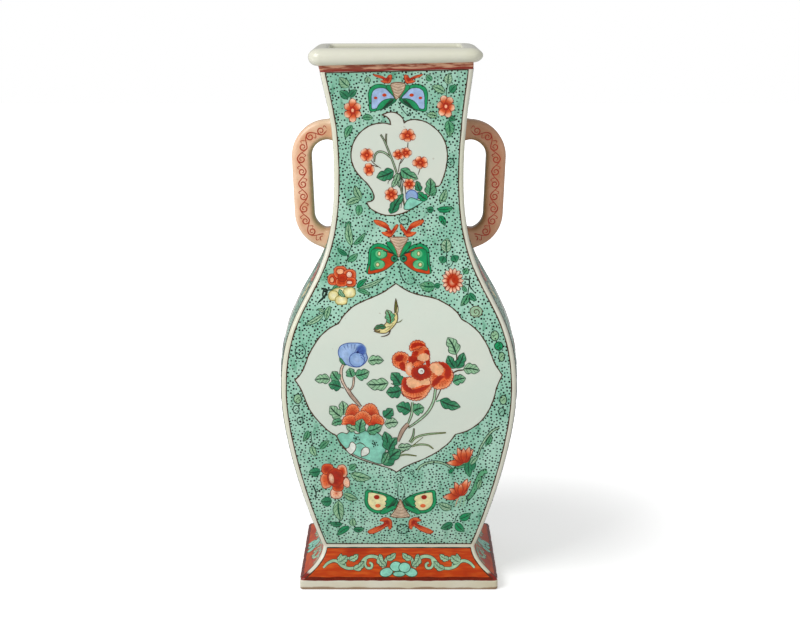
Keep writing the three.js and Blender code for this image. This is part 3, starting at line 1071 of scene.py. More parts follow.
# a many-lobed bloom: each lobe is x, y, rx, ry, turn, scallops and the tones it is shaded with
def bloom(face, lobes, at, edge="redLine", hatch=7):
    face.kind, face.anchor = "flowers", at
    for i, (x, y, rx, ry, turn, scallops, stops) in enumerate(lobes):
        layer = 4 + min(i, 9) * 0.7
        face.disc(x, y, rx, ry, stops, layer, edge, turn, scallops)
        for k in range(hatch):
            a = 2 * math.pi * (k + 0.4 * (i % 2)) / hatch
            u, v = math.cos(a), math.sin(a)
            points = [(x + 0.4 * rx * u, y + 0.4 * ry * v), (x + 0.8 * rx * u, y + 0.8 * ry * v)]
            face.stroke(points, 0.5, edge, layer + 0.6, (0.5, 0.1), smooth=False)
    face.anchor = None


# shaped petals: outline, the point its tones spread from, its tones from there to the rim
tones = {
    "warm": [(0, "redWarm"), (0.55, "redWarm"), (0.84, "orange"), (1, "salmon")],
    "deep": [(0, "redDeep"), (0.74, "redDeep"), (1, "red")],
    "pale": [(0, "blush"), (0.5, "salmon"), (1, "orange")],
    "cream": [(0, "salmonPale"), (0.75, "salmonPale"), (1, "salmon")],
    "half": [(0, "redDeep"), (0.3, "red"), (0.62, "redWarm"), (0.88, "orange"), (1, "salmon")],
}
peonies = {
    "big": [
        ([(392.5, 364), (392, 357.5), (395.5, 353), (400.5, 351.5), (406, 353), (409.5, 357), (407.5, 362),
          (406.5, 366.5), (405.5, 371.5), (400, 369.5), (395, 367)], (400, 360), "warm"),
        ([(395.4, 357.7), (399.2, 354.8), (403.6, 355.7), (402.6, 360.5), (398.2, 361.9), (395.4, 360.5)],
         (399, 358.5), "deep"),
        ([(399, 364.3), (403, 361.6), (405.5, 366.2), (405.3, 371), (401.4, 370), (399.6, 367.6)],
         (402.6, 366), "deep"),
        ([(409.5, 350.5), (409.2, 346), (412.6, 341.4), (418, 340), (423.5, 341.8), (425.8, 345.5),
          (423, 349), (416, 351), (411.5, 351.4)], (418, 345.5), "warm"),
        ([(410.6, 348.6), (411.8, 343.9), (417.2, 342.6), (422.4, 343.3), (425, 345.5), (423.8, 347),
          (419.1, 346.1), (414.4, 347.9)], (417.5, 344.6), "deep"),
        ([(411.6, 354), (414.6, 349.6), (419, 348.6), (424, 345.6), (428, 348.5), (429.8, 354), (429.6, 361),
          (425, 361), (417.5, 357.6), (413, 357.5)], (421, 353), "warm"),
        ([(412.5, 353.4), (415.3, 350.9), (418.6, 352), (417.6, 355.2), (414.4, 356.4), (412.3, 355.6)],
         (415.4, 353.5), "deep"),
        ([(424.4, 350.4), (428.6, 350.2), (429.7, 355), (427.2, 355.6), (424.9, 353.6)], (427, 352.8),
         "deep"),
        ([(408, 361.5), (409.5, 356.6), (413.6, 355.6), (418, 358), (419, 362), (413, 364.6), (408.8, 364)],
         (414, 360), "deep"),
        ([(405.2, 368.1), (406.6, 363.9), (411.5, 362.6), (413, 369.1), (411.4, 375.7), (406.6, 374)],
         (408.5, 368), "pale"),
        ([(401, 386), (402.4, 380), (406, 377.4), (412, 376.5), (424, 377), (432, 376.5), (433, 385),
          (429.4, 391.6), (425.6, 397), (419, 400.6), (411, 400.2), (404.3, 396.3), (401.4, 391.4)],
         (414.5, 384), "warm"),
        ([(402.6, 379), (405.8, 377.5), (405.2, 385.6), (409.6, 389.4), (417.2, 388.6), (425.7, 386.1),
          (431, 384.4), (425, 390.1), (418.2, 393), (410.6, 393.4), (404.2, 390.1), (402, 384.6)],
         (412, 390.4), "deep"),
        ([(407.4, 379), (412.4, 377.4), (420.1, 378), (431.4, 376.6), (432.6, 381.4), (428.6, 384.7),
          (422, 385.2), (416.3, 387.1), (410.6, 388), (406.7, 384.2)], (413, 383), "cream"),
        ([(404.2, 395), (412.5, 397.6), (422.6, 396.2), (418.6, 398.2), (412, 399)], (413, 398), "deep"),
        ([(429, 366), (432, 362.8), (439, 361.6), (446, 363.6), (451, 368.6), (453.8, 375), (452, 382),
          (447.5, 387.4), (441, 389.6), (435, 389), (431.4, 385.6), (429.5, 379), (430, 372)], (441, 376),
         "warm"),
        ([(438.4, 362.6), (444.7, 362.6), (449.9, 367.6), (451.6, 373), (450, 377.4), (446, 379.6),
          (444.1, 375.6), (445.2, 370), (442.2, 365.6)], (447.6, 370), "deep"),
        ([(431.8, 382.8), (435.2, 378.2), (440, 375.3), (444.7, 376.6), (441.2, 379.8), (438.4, 383.6),
          (433.3, 386.6)], (436.6, 380.6), "deep"),
        ([(430.1, 364.9), (437.1, 363.7), (442.8, 367.2), (443.2, 371.9), (439, 375.9), (434.3, 373.4),
          (431, 370)], (437, 369), "cream"),
        ([(425.7, 360.5), (429.3, 360.5), (430.3, 366), (426.7, 367)], (428, 363.5), "deep"),
        ([(411.9, 369.1), (415.3, 365.8), (420.1, 364.4), (426.3, 365.2), (430.1, 369), (431.8, 373.8),
          (429.5, 377.4), (424.8, 379.3), (421, 380.8), (416.3, 379.8), (412.5, 377.2), (411, 372.8)],
         (421, 372), "deep"),
        ([(412.5, 364.3), (415.3, 360.9), (420.1, 360.4), (425, 361.8), (421.5, 365.6), (415.3, 368)],
         (418, 364), "warm"),
        ([(417.2, 358.3), (420.1, 354.6), (424.8, 353.5), (429, 355.8), (428, 359.7), (423.8, 361.3),
          (419.9, 360.4)], (422.5, 357), "cream"),
    ],
    "half": [
        ([(345.5, 412), (348, 406.5), (352, 403.8), (356.5, 405), (359.5, 409.5), (357, 415), (350, 418),
          (345.5, 417)], (352, 416), "half"),
        ([(360.5, 410.5), (364.4, 405.4), (370, 403.2), (375, 405.2), (378.5, 411), (378.4, 417), (371, 419),
          (364, 415)], (372, 416), "half"),
        ([(341.8, 425), (342.6, 418.5), (347, 414.9), (353, 414.6), (357, 417.5), (359, 425), (351, 425.5),
          (345.5, 423.6)], (353, 424), "half"),
        ([(368.5, 417), (375, 413.6), (380.5, 415.5), (384.4, 420.5), (382.6, 425.4), (375, 425),
          (368, 425.5), (365.5, 420)], (373, 424), "half"),
        ([(354.6, 416.5), (357, 412.5), (362, 410.4), (367.6, 411.8), (371.8, 417.5), (369, 423.5),
          (363.5, 424), (357, 423)], (362.5, 422.5), "half"),
    ],
}


def paintPetals(face, petals):
    face.kind = "flowers"
    for i, (rim, heart, name) in enumerate(petals):
        layer = 4 + 0.6 * i
        if name not in ("warm", "half"):
            face.patch(rim, tones[name], layer, None, heart, frill=0.4)
            continue
        face.patch(rim, tones[name], layer, "redLine", heart, frill=0.4)
        for k, point in enumerate(smoothCurve(rim, 2.4, True)):
            face.ray(heart, point, (0.4, 0.9) if k % 2 else (0.6, 0.82), 1.5, "red", layer + 0.3, (1.0, 0.2))


flowers = {
    "clusterFlower": [
        (333.4, 279.5, 6.2, 6.2, 0, 4, clusterPetal), (340.4, 272.5, 7.2, 6.8, 0, 4, clusterPetal),
        (349.5, 275.5, 7, 6.6, 0, 4, clusterPetal), (350.6, 282, 6, 5.2, 0, 4, clusterPetal),
        (341.6, 282.2, 6.4, 4.8, 0, 4, clusterPetal),
        (342.4, 277.8, 5, 4.4, 0, 0, [(0, "redDeep"), (1, "red")]),
        (340, 271.6, 4.2, 3.4, 0, 0, [(0, "salmonPale"), (0.7, "salmonPale"), (1, "redWarm")]),
        (349.2, 274.7, 3.3, 3.6, 0, 0, [(0, "blush"), (0.7, "blush"), (1, "redWarm")]),
        (331.9, 280, 2.6, 3.4, 0, 0, [(0, "salmonPale"), (0.6, "salmonPale"), (1, "redWarm")]),
        (349.4, 282.6, 3.4, 2.2, 0, 0, [(0, "blush"), (0.6, "blush"), (1, "redWarm")]),
    ],
    "yellowFlower": [
        (341.6, 291, 9.4, 3.4, 0, 0, yellowPetal), (333.4, 295.8, 5.4, 5.4, 0, 4, yellowPetal),
        (349.4, 292.6, 6.6, 5.6, 0, 4, yellowPetal), (341.2, 300.4, 6.6, 5, 0, 4, yellowPetal),
    ],
    "leftFlower": [
        (327, 479.5, 6.6, 9.4, 10, 5, [(0, "red"), (0.6, "redWarm"), (1, "salmon")]),
        (327.4, 469.2, 6.4, 5.8, 0, 4, redSolid), (342.2, 471.2, 5.2, 7, -12, 4, redPetal),
        (346.4, 482.6, 3.6, 5.2, -10, 3, [(0, "salmon"), (1, "blush")]),
        (336.4, 493.4, 6.4, 5.8, 0, 4, [(0, "red"), (0.4, "salmon"), (1, "blush")]),
        (338, 486.4, 6, 5.4, 0, 4, redSolid),
        (335.4, 477.6, 8.4, 9.4, -8, 6, [(0, "redDeep"), (0.6, "redDeep"), (1, "red")]),
        (331.4, 478.6, 3.2, 6, -12, 0, [(0, "blush"), (0.6, "salmon"), (1, "red")]),
    ],
}


bluePeony = {
    "rim": [
        (337.8, 351.9), (340.1, 346.2), (346.2, 343.2), (353.9, 342.7), (361.5, 343.5), (365.6, 347.3),
        (366.4, 353), (367.8, 358), (365.3, 363.2), (358.9, 367.4), (350.5, 366.6), (343.1, 363),
        (339.3, 358),
    ],
    "strokes": [
        (347, 344.5, 348.5, 349), (351, 344, 351.6, 349), (355, 344.4, 354.4, 349), (343.8, 346, 346, 350),
        (357, 352, 362, 346.6), (358, 352.6, 364.6, 350), (359, 353.4, 366, 354), (360, 355, 366.4, 358),
        (361, 357, 366, 362), (354.5, 353, 357, 348),
    ],
}


def paintBluePeony(face):
    face.kind = "flowers"
    face.patch(bluePeony["rim"], [(0, "blue"), (0.6, "bluePale"), (1, "blue")], 4, "blueLine")
    face.disc(361, 350.5, 5.4, 6.4, [(0, "blueDeep"), (0.7, "blueDeep"), (1, "blue")], 5, None)
    face.disc(356.9, 359.8, 8.0, 7.6, [(0, "bluePale"), (0.7, "blue"), (1, "blue")], 6, "blueLine")
    for x0, y0, x1, y1 in bluePeony["strokes"]:
        face.stroke([(x0, y0), (x1, y1)], 0.8, "blueLine", 8, (0.9, 0.2), smooth=False)
    face.disc(357.6, 352.4, 1.6, 1.0, "blueInk", 9, None)
    face.kind = "leaves"
    face.leaf(339.5, 357.5, 346, 365.5, 3.6, "leaf", 7)


# base: the tip and width of each petal
lotuses = {
    (464, 463): [
        (446.4, 463, 6.6), (452, 454, 6), (457.4, 447.4, 7), (463.4, 447.6, 6.4), (469.8, 446.6, 7.2),
        (473.6, 448.6, 5), (470, 456, 5),
    ],
    (460, 496): [
        (442.6, 497.4, 7.4), (449, 488.4, 6.4), (455, 481.6, 6.6), (461, 483, 6), (467.6, 478.4, 7.4),
        (471.4, 480.4, 5), (468, 489, 5),
    ],
}
lotusThreads = [
    (452, 503.6, "twig"), (455.4, 506.6, "tan"), (459, 508.4, "leafWan"), (462.6, 507.4, "leafPale"),
    (466, 504.6, "twig"),
]


def lotus(face, base, tips):
    face.kind, face.anchor = "flowers", base
    for i, (x, y, width) in enumerate(tips):
        layer = 8 - 0.5 * abs(2 * i - len(tips) + 1)
        face.petal(*base, x, y, width, lotusPetal, layer, pointed=True)
    face.anchor = None


# butterflies, drawn for the left half and mirrored about the body: outlines of the wing and the fields on
# it, spots, an eye at the wing's root, the line and spread of the feathering, a blade, the body and feelers
butterflies = {
    "blueWinged": {
        "axis": 398,
        "border": [
            (396.9, 99.8), (389, 106.5), (380, 110.2), (370, 111.4), (368.4, 102), (368, 93.6),
            (370.6, 87.2), (377.5, 84), (386, 85.2), (392.5, 91),
        ],
        "fields": [
            ([(394.6, 98.6), (387, 104), (379, 108), (371.8, 109.2), (371, 101), (371.2, 95), (373.2, 90),
              (378.8, 87.4), (385.4, 88.2), (390.4, 92.6)], "bluePale", 3),
            ([(396, 99.6), (389, 106), (382, 109.2), (376.2, 110.4), (378.2, 105), (382.4, 100.6),
              (387.6, 98.6), (392.4, 98.2)], "green", 4),
        ],
        "spots": [(384.4, 95.1, 2.3, 1.7, "red"), (375.6, 97.9, 1.9, 1.4, "red")],
        "eyes": [],
        "feathers": [(395.6, 99.8), (378.4, 108.4)],
        "spread": 0.16,
        "blade": [(396.6, 98.5), (386.4, 85)],
        "body": [(396.4, 99.4), (392.2, 91), (390.4, 84.2), (393.4, 82.4), (398, 82)],
        "feelers": [
            (372.8, 74.3), (378, 74.8), (382.7, 76.2), (385.9, 78.1), (388.5, 75.1), (391.4, 74.6),
            (392.2, 77.4), (390.3, 82.8), (387.3, 83.6), (382.7, 82.8), (380.1, 80.7), (383.3, 80.1),
            (380.3, 78.3), (375.7, 76.9),
        ],
    },
    "greenWinged": {
        "axis": 398.9,
        "border": [
            (397.4, 256), (393.5, 251.6), (388.5, 247.2), (384, 244.3), (377, 243.2), (371, 246.2),
            (368.4, 251), (367.8, 262), (366.4, 273.4), (376, 272.6), (384, 270), (391, 265), (396, 260),
        ],
        "fields": [
            ([(396.5, 257.5), (391.5, 252.5), (385, 248.6), (378, 246.6), (373.4, 248.6), (370.6, 253),
              (369.8, 262), (367.6, 273.8), (376, 273.6), (384.4, 271), (391.4, 266.2), (396.4, 260.8)],
             "red", 3),
            ([(371.6, 250), (376, 248.3), (381.5, 249), (386.4, 251.6), (387.4, 255.6), (384.6, 258.2),
              (380.5, 259.4), (384.2, 261.4), (385.2, 265), (382, 268.2), (376, 270), (369.8, 270.6),
              (370.2, 262), (370.4, 254)], "green", 4),
        ],
        "spots": [
            (380.8, 254, 5.4, 4.2, "leafLight"), (379.2, 264.8, 5.4, 4.2, "leafLight"),
            (379.2, 253.8, 1.8, 2.6, "cream"), (377.6, 264.8, 2.2, 2.4, "cream"),
        ],
        "eyes": [(394.2, 258.8, 3.7)],
        "feathers": [(394.4, 254.6), (383.4, 249.6)],
        "spread": 0.1,
        "blade": [(398.4, 257.6), (386.6, 241.6)],
        "body": [(398.6, 257.6), (395, 248.6), (389.4, 238.2), (393.4, 236.8), (398.9, 236.6)],
        "feelers": [
            (373.4, 220.5), (377.1, 219.7), (382.6, 221.2), (387.5, 224.2), (390.6, 230.6), (393.7, 227.5),
            (396.2, 224.4), (398.2, 224.6), (397.6, 228.3), (394.9, 232.2), (391.8, 236.5), (388.8, 237.2),
            (383.8, 235.3), (381.4, 232.2), (386.9, 232.2), (386.3, 229.2), (382.6, 226.7), (376.5, 224.8),
        ],
    },
    "creamWinged": {
        "axis": 400.4,
        "border": [
            (398.4, 500.8), (397.4, 504.6), (395.7, 507.6), (389.3, 511.2), (380.4, 513.7), (373.3, 512.8),
            (367.4, 508.8), (364.5, 503.3), (364.4, 496.9), (366.3, 490.2), (376.5, 491.1), (386.1, 493.7),
            (392.5, 496.3),
        ],
        "fields": [
            ([(387, 498.6), (386.6, 503), (385.6, 509), (380, 510.8), (374.4, 510.2), (369.6, 506.8),
              (367.4, 502), (367.6, 497), (368.8, 492.2), (376, 492.8), (384.6, 495.2)], "cream", 3),
            ([(397.8, 501), (396.2, 506), (391, 509.6), (385.8, 511), (386.4, 507.6), (384.6, 505.6),
              (386.4, 503.6), (384.8, 501.4), (386.8, 499.6), (385.8, 497), (389, 495.6), (393.8, 498)],
             "green", 4),
        ],
        "spots": [(376.7, 497.2, 2.9, 2.3, "redDeep"), (377.9, 505.8, 2.8, 1.9, "redWarm")],
        "eyes": [],
        "feathers": [(397.6, 503.4), (385.8, 504)],
        "spread": 0.42,
        "blade": [(397.6, 506.6), (380, 513.8)],
        "body": [(400.4, 499), (396.6, 507), (392, 513.8), (391, 516.6), (400.4, 518.2)],
        "feelers": [
            (367.3, 532), (371.7, 528.7), (380.5, 526.5), (383.8, 522.1), (379.4, 521), (382.7, 517.7),
            (388.1, 517.7), (391.9, 521), (391.9, 527.6), (389.2, 529.8), (387, 526.5), (380.5, 530.9),
            (371.7, 534.1),
        ],
    },
}


def butterfly(face, spec):
    axis = spec["axis"]
    face.kind, face.anchor = "creatures", (axis, np.array(spec["border"])[:, 1].mean())
    for way in (1, -1):
        face.patch(mirrored(spec["border"], axis, way), "green", 2, "leafLine")
        for field, tone, layer in spec["fields"]:
            face.patch(mirrored(field, axis, way), tone, layer, "leafLine")
        for i, (x, y, rx, ry, tone) in enumerate(spec["spots"]):
            edge = "olive" if tone == "cream" else None
            face.disc(axis + (x - axis) * way, y, rx, ry, tone, 6 + i * 0.4, edge)
        for x, y, r in spec["eyes"]:
            x = axis + (x - axis) * way
            face.disc(x, y, r, r, "leafDark", 8, "leafInk")
            face.disc(x, y, r * 0.45, r * 0.45, "leafInk", 9, None)
        start, end = mirrored(spec["blade"], axis, way)
        face.petal(*start, *end, 6.6, "green", 7, "leafInk", bend=0.06 * way)
        feelers = mirrored(spec["feelers"], axis, way)
        heart = np.mean(feelers[len(feelers) // 3: 2 * len(feelers) // 3 + 2], axis=0)
        stops = [(0, "redDeep"), (0.3, "redDeep"), (0.7, "redWarm"), (1, "redWarm")]
        face.patch(feelers, stops, 5, "redLine", heart)
        for point in feelers[::2]:
            face.ray(heart, point, (0, 0.86), 0.8, "redDeep", 6, (1, 0.2))
        # feathering fans out from the root of the wing
        root, tip = (np.array(p) for p in mirrored(spec["feathers"], axis, way))
        aside = (tip - root)[::-1] * (1, -1) * way * spec["spread"]
        for k in range(9):
            end = root + (tip - root) * (0.25 + 0.09 * k) + aside * (k - 4) / 4
            face.ray(root, end, (0.25, 1), 0.8, "leafInk", 7.4, (0.4, 1))
    # the striped body, widest at the head
    body = spec["body"] + mirrored(spec["body"][-2:0:-1], axis, -1)
    face.patch(body, "fanPale", 8, "fanLine")
    heights = [y for _, y in body]
    taper = sorted((y, axis - x) for x, y in spec["body"][:3])
    for y in np.arange(min(heights) + 1.4, max(heights) - 1.2, 1.5):
        r = 0.92 * np.interp(y, *zip(*taper))
        stripe = [(axis - r, y + 0.6), (axis, y - 0.4), (axis + r, y + 0.6)]
        face.stroke(stripe, 0.6, "fanLine", 9, (0.7, 0.7))
    face.anchor = None


# leaves and stems that fill the ground and the panels: base x, y, tip x, y, width, tone
sprigs = {
    "top": [
        (349, 87, 339.3, 77.2, 9, "leafPale"), (348.4, 98.4, 339.4, 91, 8, "leafDark"),
        (349.5, 97, 356.8, 89.6, 6.4, "leafDark"), (366.4, 83, 368.2, 76.4, 6, "leafWan"),
        (362.2, 117.6, 373.2, 118, 6, "leaf"), (352, 125.2, 345, 138.6, 6.4, "leaf"),
        (448, 84.4, 449.6, 72.8, 8, "leafWan"), (444.9, 92.6, 431.4, 86, 7.4, "leafPale"),
        (450, 92.6, 456.8, 84.8, 7, "leafDark"), (437.4, 116, 426, 115, 6.4, "leafPale"),
        (432, 80.6, 426, 74.6, 6, "leaf"), (448.4, 116, 455.8, 120.4, 5.6, "leafDark"),
        (448, 120.4, 449.6, 137.6, 9, "leaf"),
    ],
    "neck": [
        (361.2, 199.2, 354.6, 185, 7, "leafPale"), (360.2, 198.8, 345.6, 205, 6.6, "leafPale"),
        (358.7, 204.8, 358.2, 216.2, 6.8, "leaf"), (439.8, 203, 446.2, 188.6, 6.6, "leafPale"),
        (433.8, 210, 426.6, 208.6, 6.4, "leafDark"), (437.2, 209.6, 453.8, 207.6, 6.2, "green"),
        (439.3, 215.6, 445.2, 226, 6, "green"), (349.4, 221, 347.8, 232, 5.6, "leaf"),
        (351.6, 246, 348.4, 222, 7.2, "leafPale"), (353.7, 244.9, 365.6, 232.4, 5, "leaf"),
        (347.6, 255.6, 337, 247.6, 4.6, "leafDark"), (347.6, 261.2, 358, 253.4, 6, "leaf"),
        (446.5, 252.8, 447.6, 237.8, 10, "leafWan"), (444.6, 256.6, 441.4, 263.6, 8, "leafDark"),
        (453, 255.6, 456.4, 262.6, 8, "leafDark"), (463.5, 273.5, 467.8, 268, 6.4, "leaf"),
        (435.3, 286.8, 419.2, 285, 10, "leaf"), (434.4, 286.6, 440.6, 284.2, 5.4, "leafDark"),
        (356.7, 288.3, 367.2, 278.8, 5, "green"), (357.8, 288.6, 385.6, 276.8, 4.6, "leafWan"),
        (357, 290, 371, 295.4, 4.6, "leaf"),
    ],
    "shoulder": [
        (331.8, 290.4, 343, 284.4, 4.4, "leaf"), (345.4, 284.6, 355.8, 286, 4.2, "leaf"),
        (337.2, 289.6, 344.4, 297.6, 4.4, "leafPale"), (330.1, 306, 326.1, 321, 5.8, "leafPale"),
        (324, 313.7, 303.8, 325.4, 5.4, "leafWan"), (324.6, 312.6, 317.2, 309, 4, "leafWan"),
        (468.5, 294.4, 460.6, 306.4, 6.6, "leaf"), (469.3, 293.2, 476.4, 301, 6, "leafDark"),
        (466.6, 292, 462.6, 285.4, 4, "leaf"),
    ],
    "sides": [
        (308.6, 430.6, 303.2, 441.8, 5.6, "leaf"), (311.5, 446, 316, 456.6, 6.4, "leafPale"),
        (320, 449, 329.6, 440.6, 6, "leaf"), (486, 445.6, 491.8, 434.4, 5, "leaf"),
        (478, 489.6, 482, 479, 4.6, "leafPale"),
    ],
    "lower": [
        (320.4, 471.2, 308.6, 472.4, 8.6, "leafDark"), (343.4, 493.6, 358.4, 499.6, 6.8, "leafPale"),
        (331.9, 500.8, 320.6, 501.6, 9.2, "leafDark"), (350.4, 473.9, 371.3, 478.4, 8.6, "leafPale"),
        (349.4, 470, 356.8, 464.8, 6.4, "leaf"), (338.3, 500.7, 341.2, 521.2, 10.4, "leafPale"),
        (342.4, 524.3, 329, 522.8, 5, "leafDark"), (349.7, 526.8, 336.6, 535.8, 6.2, "green"),
        (353.6, 526.4, 352.8, 518, 6.6, "leafPale"), (353.1, 529.6, 364.8, 528.6, 5.4, "leafDark"),
        (451.6, 508.6, 438.2, 503.4, 7.4, "leafWan"), (459.3, 519.2, 471.2, 513.2, 7, "green"),
        (452.6, 523, 440.4, 528.8, 7, "leafDark"), (455.4, 523, 464.6, 531.8, 7.4, "green"),
        (472, 470.6, 472.6, 457.2, 8.4, "leafDark"), (453.4, 468.2, 476.3, 457, 5, "leaf"),
        (448.6, 473.6, 455, 468.2, 3.6, "green"),
    ],
    "leafPanel": [
        (393.9, 171, 376.2, 177.6, 10.4, "leafDark"), (400.5, 169, 418.2, 179.2, 9.4, "leaf"),
        (398, 173, 391.6, 188, 5.6, "leafPale"), (398.6, 173, 399.4, 188, 4.8, "leafWan"),
        (420.4, 191.6, 416.6, 180.6, 6.4, "leafDark"), (429, 195.6, 430.2, 177.8, 9.6, "leaf"),
        (427.4, 200, 417.4, 192.2, 7.6, "green"), (431, 196.4, 436, 186.6, 4.6, "leaf"),
        (391.6, 213.6, 403.6, 193.6, 8.4, "leafDark"), (390.6, 214, 393, 202, 6, "green"),
    ],
    "flowerPanel": [
        (367.8, 361.4, 384, 360.6, 8.4, "leafPale"), (355.4, 375.8, 369.6, 371.6, 10, "leaf"),
        (352.4, 377.4, 349.6, 367.8, 8.6, "leaf"), (330.3, 379.6, 314.4, 380, 8.6, "leafPale"),
        (338.8, 380.6, 332, 371.4, 9.4, "leaf"), (341, 387.4, 328.2, 384.4, 9.4, "leafDark"),
        (388.6, 383, 366.2, 384, 10.8, "leafPale"), (400.7, 385.4, 391.2, 372.6, 10.6, "leafDark"),
        (401.6, 390.2, 385.8, 392.6, 11, "leafDark"), (410.6, 411.2, 396, 406, 11.2, "leafDark"),
        (413, 411.6, 424.4, 407.6, 10.4, "leaf"), (439.8, 400.2, 460.8, 407.2, 9.4, "leafDark"),
        (452.6, 382, 466, 378.2, 9.2, "leaf"), (456.2, 354.8, 447.6, 337.2, 11, "leafPale"),
        (455.4, 368.6, 447.8, 355.4, 8.4, "leafDark"), (456.2, 368.6, 464, 352.4, 8.6, "leafDark"),
        (463.3, 368.8, 480, 370.9, 9.6, "leafPale"), (383.6, 417.2, 392.9, 408.6, 9.4, "leafDark"),
        (384.6, 424.4, 398.4, 422.6, 9.4, "leafWan"), (343.4, 415.4, 342.2, 400.8, 9.2, "leafPale"),
        (341.6, 417.2, 329.6, 406, 10, "leafPale"), (342.5, 420.8, 331.4, 424.6, 7, "leaf"),
    ],
    "rockside": [
        (359.4, 433, 362.4, 418.4, 10.4, "leaf"), (367, 431.4, 382.4, 425.2, 8.8, "leaf"),
        (356, 430, 345.8, 424.8, 6.6, "leafPale"), (388, 450.4, 384.6, 431.2, 9.6, "leafDark"),
        (388.2, 451.4, 396.8, 437.2, 8.6, "leafDark"), (397.9, 447.2, 411.8, 445.6, 6.8, "leafWan"),
        (383.2, 465, 401.2, 449.6, 12.4, "leafDark"), (382.4, 464.4, 388.4, 452, 6.4, "leaf"),
    ],
}

